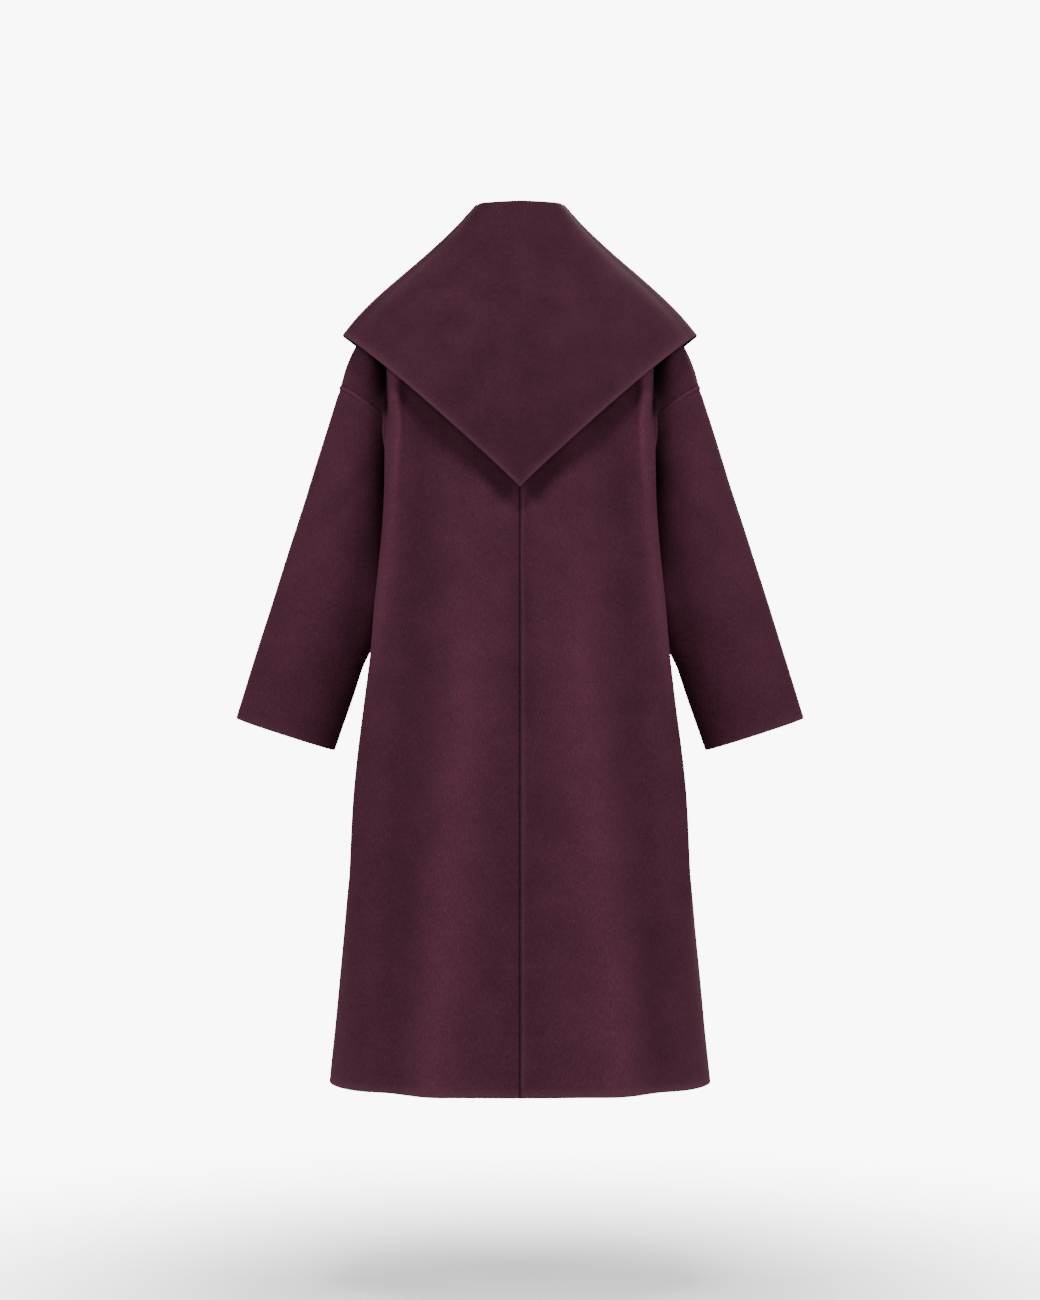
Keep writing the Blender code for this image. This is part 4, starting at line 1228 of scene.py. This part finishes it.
def brushed_wool():
    """Double-faced wool, milled and brushed: a matt plum heather, with painted highlight along the edges and
    seam ridges, painted shadow along the seams, and painted shade and highlight on the folds.
    """
    material, tree, shader = new_material("brushed_double_faced_wool")
    place = add(tree, "ShaderNodeTexCoord").outputs["Object"]
    cut = add(tree, "ShaderNodeUVMap", uv_map="flat_cut").outputs["UV"]
    # Fibres are far finer than a pixel, so the heather is drawn as flecks of about two millimetres
    flecks = add(tree, "ShaderNodeTexNoise",
                 {"Vector": place, "Scale": per_metre(FLECK), "Detail": 4.0, "Roughness": 0.62})
    drawn = add(tree, "ShaderNodeMapping", {"Vector": cut, "Scale": STRAND_DRAWN})
    strands = add(tree, "ShaderNodeTexNoise",
                  {"Vector": drawn.outputs["Vector"], "Scale": per_metre(STRAND), "Detail": 3.0,
                   "Roughness": 0.6})
    clouds = add(tree, "ShaderNodeTexNoise", {"Vector": place, "Scale": per_metre(CLOUD), "Detail": 3.0})
    both = add(tree, "ShaderNodeMath", {0: flecks.outputs["Fac"], 1: strands.outputs["Fac"]},
               operation="ADD")
    halved = add(tree, "ShaderNodeMath", {0: both.outputs["Value"], 1: 0.5}, operation="MULTIPLY")
    heather = add(tree, "ShaderNodeValToRGB", {"Fac": halved.outputs["Value"]})
    ramp = heather.color_ramp
    ramp.elements[0].position = HEATHER_STOPS[0]
    ramp.elements[0].color = linear(WOOL_DARK)
    ramp.elements[1].position = HEATHER_STOPS[2]
    ramp.elements[1].color = linear(WOOL_LIGHT)
    ramp.elements.new(HEATHER_STOPS[1]).color = linear(WOOL_BASE)
    cloud_share = add(tree, "ShaderNodeMapRange",
                      {"Value": clouds.outputs["Fac"], "From Min": CLOUD_READ[0], "From Max": CLOUD_READ[1],
                       "To Min": CLOUD_SHARE[0], "To Max": CLOUD_SHARE[1]})
    # Painted shade and highlight of the folds, and painted shade over the collar, scale the heather together
    # with its random clouds
    bloom = add(tree, "ShaderNodeAttribute", attribute_name="bloom")
    painted_light_share = add(tree, "ShaderNodeMath",
                      {0: bloom.outputs["Fac"], 1: PAINTED_LIGHT_DEPTH, 2: cloud_share.outputs["Result"]},
                      operation="MULTIPLY_ADD")
    clouded_and_painted = add(tree, "ShaderNodeVectorMath",
                  {0: heather.outputs["Color"], "Scale": painted_light_share.outputs["Value"]}, operation="SCALE")
    # Painted highlight along the open edges and the seam ridges
    edge = add(tree, "ShaderNodeAttribute", attribute_name="edge")
    edge_highlight_share = add(tree, "ShaderNodeMath", {0: edge.outputs["Fac"], 1: EDGE_HIGHLIGHT_SHARE}, operation="MULTIPLY")
    edge_highlighted = add(tree, "ShaderNodeMix",
               {"Factor": edge_highlight_share.outputs["Value"], "A": clouded_and_painted.outputs["Vector"],
                "B": linear(WOOL_EDGE_HIGHLIGHT)}, data_type="RGBA")
    # Painted shadow along the seams
    seam = add(tree, "ShaderNodeAttribute", attribute_name="seam")
    seam_shadow_share = add(tree, "ShaderNodeMath", {0: seam.outputs["Fac"], 1: SEAM_SHADOW_SHARE}, operation="MULTIPLY")
    seam_shadowed = add(tree, "ShaderNodeMix",
               {"Factor": seam_shadow_share.outputs["Value"], "A": edge_highlighted.outputs["Result"],
                "B": linear(WOOL_SEAM_SHADOW)}, data_type="RGBA")
    tree.links.new(seam_shadowed.outputs["Result"], shader.inputs["Base Color"])
    bump = add(tree, "ShaderNodeBump",
               {"Height": halved.outputs["Value"], "Distance": WOOL_BUMP * METRES_PER_MM,
                "Strength": WOOL_BUMP_STRENGTH})
    tree.links.new(bump.outputs["Normal"], shader.inputs["Normal"])
    dull = add(tree, "ShaderNodeMapRange",
               {"Value": flecks.outputs["Fac"], "To Min": WOOL_ROUGHNESS[0], "To Max": WOOL_ROUGHNESS[1]})
    tree.links.new(dull.outputs["Result"], shader.inputs["Roughness"])
    shader.inputs["Specular IOR Level"].default_value = WOOL_SPECULAR
    shader.inputs["Sheen Weight"].default_value = WOOL_SHEEN_WEIGHT
    shader.inputs["Sheen Roughness"].default_value = WOOL_SHEEN_ROUGHNESS
    shader.inputs["Sheen Tint"].default_value = linear(WOOL_SHEEN)
    return material


def loose_fibre():
    """Wool fibres drawn out by the brush: paler than the cloth, because light passes through them."""
    material, tree, shader = new_material("loose_wool_fibre")
    place = add(tree, "ShaderNodeTexCoord").outputs["Object"]
    tone = add(tree, "ShaderNodeTexNoise", {"Vector": place, "Scale": per_metre(FIBRE_TONE), "Detail": 1.0})
    ramp = add(tree, "ShaderNodeValToRGB", {"Fac": tone.outputs["Fac"]})
    for stop, at, colour in zip(ramp.color_ramp.elements, FIBRE_STOPS, (WOOL_BASE, WOOL_LIGHT)):
        stop.position = at
        stop.color = linear(colour)
    tree.links.new(ramp.outputs["Color"], shader.inputs["Base Color"])
    shader.inputs["Roughness"].default_value = FIBRE_ROUGHNESS
    shader.inputs["Specular IOR Level"].default_value = FIBRE_SPECULAR
    return material


def polished_resin():
    """Cast polyester resin, turned and tumbled: a dark satin face with faint clouds inside."""
    material, tree, shader = new_material("tumbled_polyester_resin")
    place = add(tree, "ShaderNodeTexCoord").outputs["Object"]
    clouds = add(tree, "ShaderNodeTexNoise",
                 {"Vector": place, "Scale": per_metre(RESIN_CLOUD), "Detail": 4.0, "Distortion": 1.2})
    ramp = add(tree, "ShaderNodeValToRGB", {"Fac": clouds.outputs["Fac"]})
    for stop, at, colour in zip(ramp.color_ramp.elements, RESIN_STOPS, (RESIN_DARK, RESIN_LIGHT)):
        stop.position = at
        stop.color = linear(colour)
    tree.links.new(ramp.outputs["Color"], shader.inputs["Base Color"])
    marks = add(tree, "ShaderNodeTexNoise", {"Vector": place, "Scale": per_metre(RESIN_MARK), "Detail": 2.0})
    dull = add(tree, "ShaderNodeMapRange",
               {"Value": marks.outputs["Fac"], "To Min": RESIN_ROUGHNESS[0], "To Max": RESIN_ROUGHNESS[1]})
    tree.links.new(dull.outputs["Result"], shader.inputs["Roughness"])
    shader.inputs["IOR"].default_value = RESIN_IOR
    return material


def sewing_thread():
    """Spun polyester button thread: a dull plum twist."""
    material, tree, shader = new_material("spun_polyester_thread")
    place = add(tree, "ShaderNodeTexCoord").outputs["Object"]
    twist = add(tree, "ShaderNodeTexWave",
                {"Vector": place, "Scale": per_metre(THREAD_TWIST), "Distortion": 0.6},
                bands_direction="DIAGONAL")
    ramp = add(tree, "ShaderNodeValToRGB", {"Fac": twist.outputs["Fac"]})
    for stop, colour in zip(ramp.color_ramp.elements, (WOOL_DARK, WOOL_LIGHT)):
        stop.color = linear(colour)
    tree.links.new(ramp.outputs["Color"], shader.inputs["Base Color"])
    shader.inputs["Roughness"].default_value = THREAD_ROUGHNESS
    return material


def pale_floor():
    """Matt pale paper that runs out softly into the white ground around it."""
    material, tree, shader = new_material("pale_studio_paper")
    place = add(tree, "ShaderNodeTexCoord").outputs["Object"]
    flat = add(tree, "ShaderNodeVectorMath", {0: place, 1: (1.0, 1.0, 0.0)}, operation="MULTIPLY")
    far = add(tree, "ShaderNodeVectorMath", {0: flat.outputs["Vector"]}, operation="LENGTH")
    kept = add(tree, "ShaderNodeMapRange",
               {"Value": far.outputs["Value"], "From Min": FLOOR_FADE_START, "From Max": FLOOR_FADE_END,
                "To Min": 1.0, "To Max": 0.0}, interpolation_type="SMOOTHSTEP")
    tree.links.new(kept.outputs["Result"], shader.inputs["Alpha"])
    shader.inputs["Base Color"].default_value = linear(PAPER)
    shader.inputs["Roughness"].default_value = PAPER_ROUGHNESS
    return material


def new_tree(name, inputs):
    """Geometry tree with its named inputs; gives the tree and its input node's outputs."""
    tree = bpy.data.node_groups.new(name, "GeometryNodeTree")
    tree.interface.new_socket("Geometry", in_out="INPUT", socket_type="NodeSocketGeometry")
    for label, kind in inputs:
        tree.interface.new_socket(label, in_out="INPUT", socket_type=kind)
    tree.interface.new_socket("Geometry", in_out="OUTPUT", socket_type="NodeSocketGeometry")
    return tree, add(tree, "NodeGroupInput").outputs


def end_tree(tree, instances, material):
    """Close a tree: its instances become real faces of one material."""
    real = add(tree, "GeometryNodeRealizeInstances", {"Geometry": instances})
    painted = add(tree, "GeometryNodeSetMaterial",
                  {"Geometry": real.outputs["Geometry"], "Material": material})
    add(tree, "NodeGroupOutput", {"Geometry": painted.outputs["Geometry"]})
    return tree


def nap_tree(material):
    """Tapered fibres scattered over the cloth, leaning every way."""
    tree, given = new_tree("wool_nap", (("Density", "NodeSocketFloat"), ("Length", "NodeSocketFloat"),
                                        ("Radius", "NodeSocketFloat"), ("Seed", "NodeSocketInt")))
    share = add(tree, "GeometryNodeInputNamedAttribute", {"Name": "nap"}, data_type="FLOAT")
    density = add(tree, "ShaderNodeMath", {0: given["Density"], 1: share.outputs["Attribute"]},
                  operation="MULTIPLY")
    spots = add(tree, "GeometryNodeDistributePointsOnFaces",
                {"Mesh": given["Geometry"], "Density": density.outputs["Value"], "Seed": given["Seed"]})
    fibre = add(tree, "GeometryNodeMeshCone",
                {"Vertices": NAP_SIDES, "Radius Top": 0.0, "Radius Bottom": given["Radius"],
                 "Depth": given["Length"]}, fill_type="NONE")
    lean = add(tree, "FunctionNodeRandomValue",
               {0: (-NAP_LEAN, -NAP_LEAN, -np.pi), 1: (NAP_LEAN, NAP_LEAN, np.pi), "Seed": given["Seed"]},
               data_type="FLOAT_VECTOR")
    turn = add(tree, "FunctionNodeEulerToRotation", {"Euler": lean.outputs[0]})
    way = add(tree, "FunctionNodeRotateRotation",
              {"Rotation": spots.outputs["Rotation"], "Rotate By": turn.outputs["Rotation"]},
              rotation_space="LOCAL")
    size = add(tree, "FunctionNodeRandomValue",
               {2: NAP_SIZES[0], 3: NAP_SIZES[1], "Seed": given["Seed"]}, data_type="FLOAT")
    fibres = add(tree, "GeometryNodeInstanceOnPoints",
                 {"Points": spots.outputs["Points"], "Instance": fibre.outputs["Mesh"],
                  "Rotation": way.outputs["Rotation"], "Scale": size.outputs[1]})
    return end_tree(tree, fibres.outputs["Instances"], material)


def sewn_on_tree(name, material):
    """One pattern set at every point, turned as the point says."""
    tree, given = new_tree(name, (("Pattern", "NodeSocketObject"),))
    pattern = add(tree, "GeometryNodeObjectInfo", {"Object": given["Pattern"]})
    turn = add(tree, "GeometryNodeInputNamedAttribute", {"Name": "turn"}, data_type="FLOAT_VECTOR")
    way = add(tree, "FunctionNodeEulerToRotation", {"Euler": turn.outputs["Attribute"]})
    copies = add(tree, "GeometryNodeInstanceOnPoints",
                 {"Points": given["Geometry"], "Instance": pattern.outputs["Geometry"],
                  "Rotation": way.outputs["Rotation"]})
    return end_tree(tree, copies.outputs["Instances"], material)


def grown(name, source, tree, values):
    """Plain mesh object of what a tree makes of its source."""
    modifier = source.modifiers.new(tree.name, "NODES")
    modifier.node_group = tree
    for socket in tree.interface.items_tree:
        if socket.in_out == "INPUT" and socket.name in values:
            modifier[socket.identifier] = values[socket.name]
    source.update_tag()
    ready = source.evaluated_get(bpy.context.evaluated_depsgraph_get())
    mesh = bpy.data.meshes.new_from_object(ready)
    source.modifiers.remove(modifier)
    mesh.name = name
    return new_object(name, mesh)


def button_spots(tree):
    """Points on the right front where the buttons sit, with their turns; the seats are the solids' own."""
    spots, turns = [], []
    for x in BUTTON_X.values():
        for z in BUTTON_Z:
            place, normal, _, _ = tree.ray_cast(Vector((x, BEFORE_FRONT_Y, z)), Vector((0.0, 1.0, 0.0)))
            way = Vector(normal)
            turn = way.to_track_quat("Z", "Y")
            lift = 0.0
            for angle in np.linspace(0.0, 2.0 * np.pi, BUTTON_SIDES, endpoint=False):
                for share in BUTTON_SEAT_RINGS:
                    spot = Vector((np.cos(angle), np.sin(angle), 0.0)) * BUTTON_RADIUS * share
                    under, _, _, _ = tree.ray_cast(place + turn @ spot + way * BUTTON_RADIUS, -way)
                    lift = max(lift, (under - place).dot(way))
            spots.append((place + way * (WALL / 2.0 + BUTTON_SEAT + lift)) * METRES_PER_MM)
            turns.append(turn.to_euler())
    mesh = bpy.data.meshes.new("button_spots")
    mesh.from_pydata(spots, [], [])
    attribute = mesh.attributes.new("turn", "FLOAT_VECTOR", "POINT")
    attribute.data.foreach_set("vector", np.array(turns, dtype=np.float32).reshape(-1))
    return new_object("button_spots", mesh)


def button_pattern():
    """Turned button with a raised rim, a dished face and four sewing holes."""
    angles = np.linspace(0.0, 2.0 * np.pi, BUTTON_TURNS, endpoint=False)
    rings = BUTTON_SECTION[1:-1]
    vertices = [Vector((radius * np.cos(angle), radius * np.sin(angle), height)) * METRES_PER_MM
                for radius, height in rings for angle in angles]
    faces = faces_of(len(rings), BUTTON_TURNS, True)
    for ring, (_, height) in ((0, BUTTON_SECTION[0]), (len(rings) - 1, BUTTON_SECTION[-1])):
        middle = len(vertices)
        vertices.append(Vector((0.0, 0.0, height)) * METRES_PER_MM)
        first = ring * BUTTON_TURNS
        faces += [(first + step, first + (step + 1) % BUTTON_TURNS, middle) for step in range(BUTTON_TURNS)]
    pattern = new_object("button_pattern", new_mesh("button_pattern", vertices, faces))
    drill = bmesh.new()
    for x in (-HOLE_OFFSET, HOLE_OFFSET):
        for y in (-HOLE_OFFSET, HOLE_OFFSET):
            bmesh.ops.create_cone(drill, cap_ends=True, segments=HOLE_SIDES,
                                  radius1=HOLE_RADIUS * METRES_PER_MM, radius2=HOLE_RADIUS * METRES_PER_MM,
                                  depth=DRILL_LENGTH * METRES_PER_MM,
                                  matrix=Matrix.Translation(Vector((x, y, 0.0)) * METRES_PER_MM))
    drill_mesh = bpy.data.meshes.new("button_drill")
    drill.to_mesh(drill_mesh)
    drill.free()
    cutter = new_object("button_drill", drill_mesh)
    bored = pattern.modifiers.new("holes", "BOOLEAN")
    bored.object = cutter
    bored.operation = "DIFFERENCE"
    ready = pattern.evaluated_get(bpy.context.evaluated_depsgraph_get())
    pattern.data = bpy.data.meshes.new_from_object(ready)
    pattern.modifiers.clear()
    pattern.data.shade_smooth()
    pattern.data.set_sharp_from_angle(angle=BUTTON_CREASE)
    bpy.data.objects.remove(cutter, do_unlink=True)
    return pattern


def thread_pattern():
    """Four strands of thread over the face, two through each pair of holes."""
    vertices, faces = [], []
    low = BUTTON_SECTION[-1][1] - THREAD_BOW
    for x in (-HOLE_OFFSET - THREAD_SPREAD, -HOLE_OFFSET + THREAD_SPREAD,
              HOLE_OFFSET - THREAD_SPREAD, HOLE_OFFSET + THREAD_SPREAD):
        start = len(vertices)
        for share in np.linspace(0.0, 1.0, THREAD_STEPS + 1):
            y = -HOLE_OFFSET * np.cos(np.pi * share)
            z = low + (2.0 * THREAD_BOW + THREAD_RADIUS) * np.sin(np.pi * share) ** THREAD_SQUARENESS
            lean = np.pi * (share - 0.5)
            for angle in np.linspace(0.0, 2.0 * np.pi, THREAD_SIDES, endpoint=False):
                side, out = THREAD_RADIUS * np.cos(angle), THREAD_RADIUS * np.sin(angle)
                spot = Vector((x + side, y + out * np.sin(lean), z + out * np.cos(lean)))
                vertices.append(spot * METRES_PER_MM)
        faces += [tuple(start + index for index in quad)
                  for quad in faces_of(THREAD_STEPS + 1, THREAD_SIDES, True)]
        faces.append(tuple(range(start, start + THREAD_SIDES)))
        faces.append(tuple(range(len(vertices) - THREAD_SIDES, len(vertices))))
    mesh = new_mesh("thread_pattern", vertices, faces)
    mesh.shade_smooth()
    return new_object("thread_pattern", mesh)


def dress_cloth(pieces):
    """Every piece of cloth with its nap, riding on the frame in the place of its solid."""
    wool, fibre = brushed_wool(), loose_fibre()
    surfaces, normals, painted_lights = {}, {}, {}
    for name, (surface, closed, flip) in pieces.items():
        fine = refined(name, surface, closed)
        painted_lights[name] = painted_light_of(name, fine)
        surfaces[name] = side_folded(name.split("_")[0], fine)
        normals[name] = grid_normals(surfaces[name], closed, flip)
    panels = [name for name in surfaces if name.startswith(("back", "front"))]
    share_seam_normals(normals, {name: surfaces[name] for name in panels})
    grow = nap_tree(fibre)
    for cut in CUTS:
        name = cut.piece
        _, closed, _ = pieces[name]
        surface = surfaces[name]
        across, down = lengths(surface, 1), lengths(surface, 0)
        lift = crease_lift(name, across, down) + seam_lift(name, across, down) + uneven_lift(surface)
        lift += flare_lift(name, normals[name], down)
        shape = surface + normals[name] * lift[..., None]
        cloth = cloth_shell(name, shape, normals[name], painted_lights[name], closed, wool)
        nap = grown(name + "_nap", cloth, grow, {"Density": NAP_DENSITY, "Length": NAP_LENGTH,
                                                 "Radius": NAP_RADIUS, "Seed": NAP_SEED})
        for item in (cloth, nap):
            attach(item, "root")
        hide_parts(name)


def dress_buttons(pieces):
    """Turned buttons and their thread on the right front."""
    spots = button_spots(shell_tree([pieces["front_right"]]))
    numbers = range(1, len(BUTTON_Z) + 1)
    nodes = ["button_{}_{}".format(column, number) for column in BUTTON_X for number in numbers]
    for name, pattern, material in (("buttons", button_pattern(), polished_resin()),
                                    ("button_thread", thread_pattern(), sewing_thread())):
        sewn = grown(name, spots, sewn_on_tree(name, material), {"Pattern": pattern})
        bpy.data.objects.remove(pattern, do_unlink=True)
        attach(sewn, "root")
        if name == "buttons":
            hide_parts(*nodes)
    bpy.data.objects.remove(spots, do_unlink=True)


def studio():
    """Pale floor, soft light and the camera at the height of the coat's middle, behind it."""
    floor_mesh = bpy.data.meshes.new("floor")
    corners = [(-FLOOR_HALF, -FLOOR_HALF, FLOOR_Z), (FLOOR_HALF, -FLOOR_HALF, FLOOR_Z),
               (FLOOR_HALF, FLOOR_HALF, FLOOR_Z), (-FLOOR_HALF, FLOOR_HALF, FLOOR_Z)]
    floor_mesh.from_pydata(corners, [], [(0, 1, 2, 3)])
    floor_mesh.materials.append(pale_floor())
    new_object("floor", floor_mesh)
    world = bpy.data.worlds.new("studio")
    world.use_nodes = True
    sky = world.node_tree.nodes["Background"]
    seen = add(world.node_tree, "ShaderNodeLightPath").outputs["Is Camera Ray"]
    strength = add(world.node_tree, "ShaderNodeMapRange",
                   {"Value": seen, "To Min": WORLD_STRENGTH, "To Max": BACKGROUND_STRENGTH})
    sky.inputs["Color"].default_value = linear(GROUND)
    world.node_tree.links.new(strength.outputs["Result"], sky.inputs["Strength"])
    bpy.context.scene.world = world
    middle = Vector((0.0, 0.0, CAMERA_Z))
    for lamp in LIGHTS:
        light = bpy.data.lights.new(lamp.name, "AREA")
        light.shape = "SQUARE"
        light.size = lamp.size
        light.energy = lamp.watts
        hung = new_object(lamp.name, light)
        hung.location = lamp.place
        hung.rotation_euler = (middle - Vector(lamp.place)).to_track_quat("-Z", "Y").to_euler()
    camera_data = bpy.data.cameras.new("camera")
    camera_data.sensor_fit = "VERTICAL"
    camera_data.angle = 2.0 * np.arctan(CAMERA_HALF_HEIGHT / CAMERA_Y)
    camera = new_object("camera", camera_data)
    camera.location = (0.0, CAMERA_Y, CAMERA_Z)
    camera.rotation_euler = (np.pi / 2.0, 0.0, np.pi)
    bpy.context.scene.camera = camera


def main():
    """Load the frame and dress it."""
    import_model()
    studio()
    pieces = coat_surfaces()
    dress_cloth(pieces)
    dress_buttons(pieces)


main()
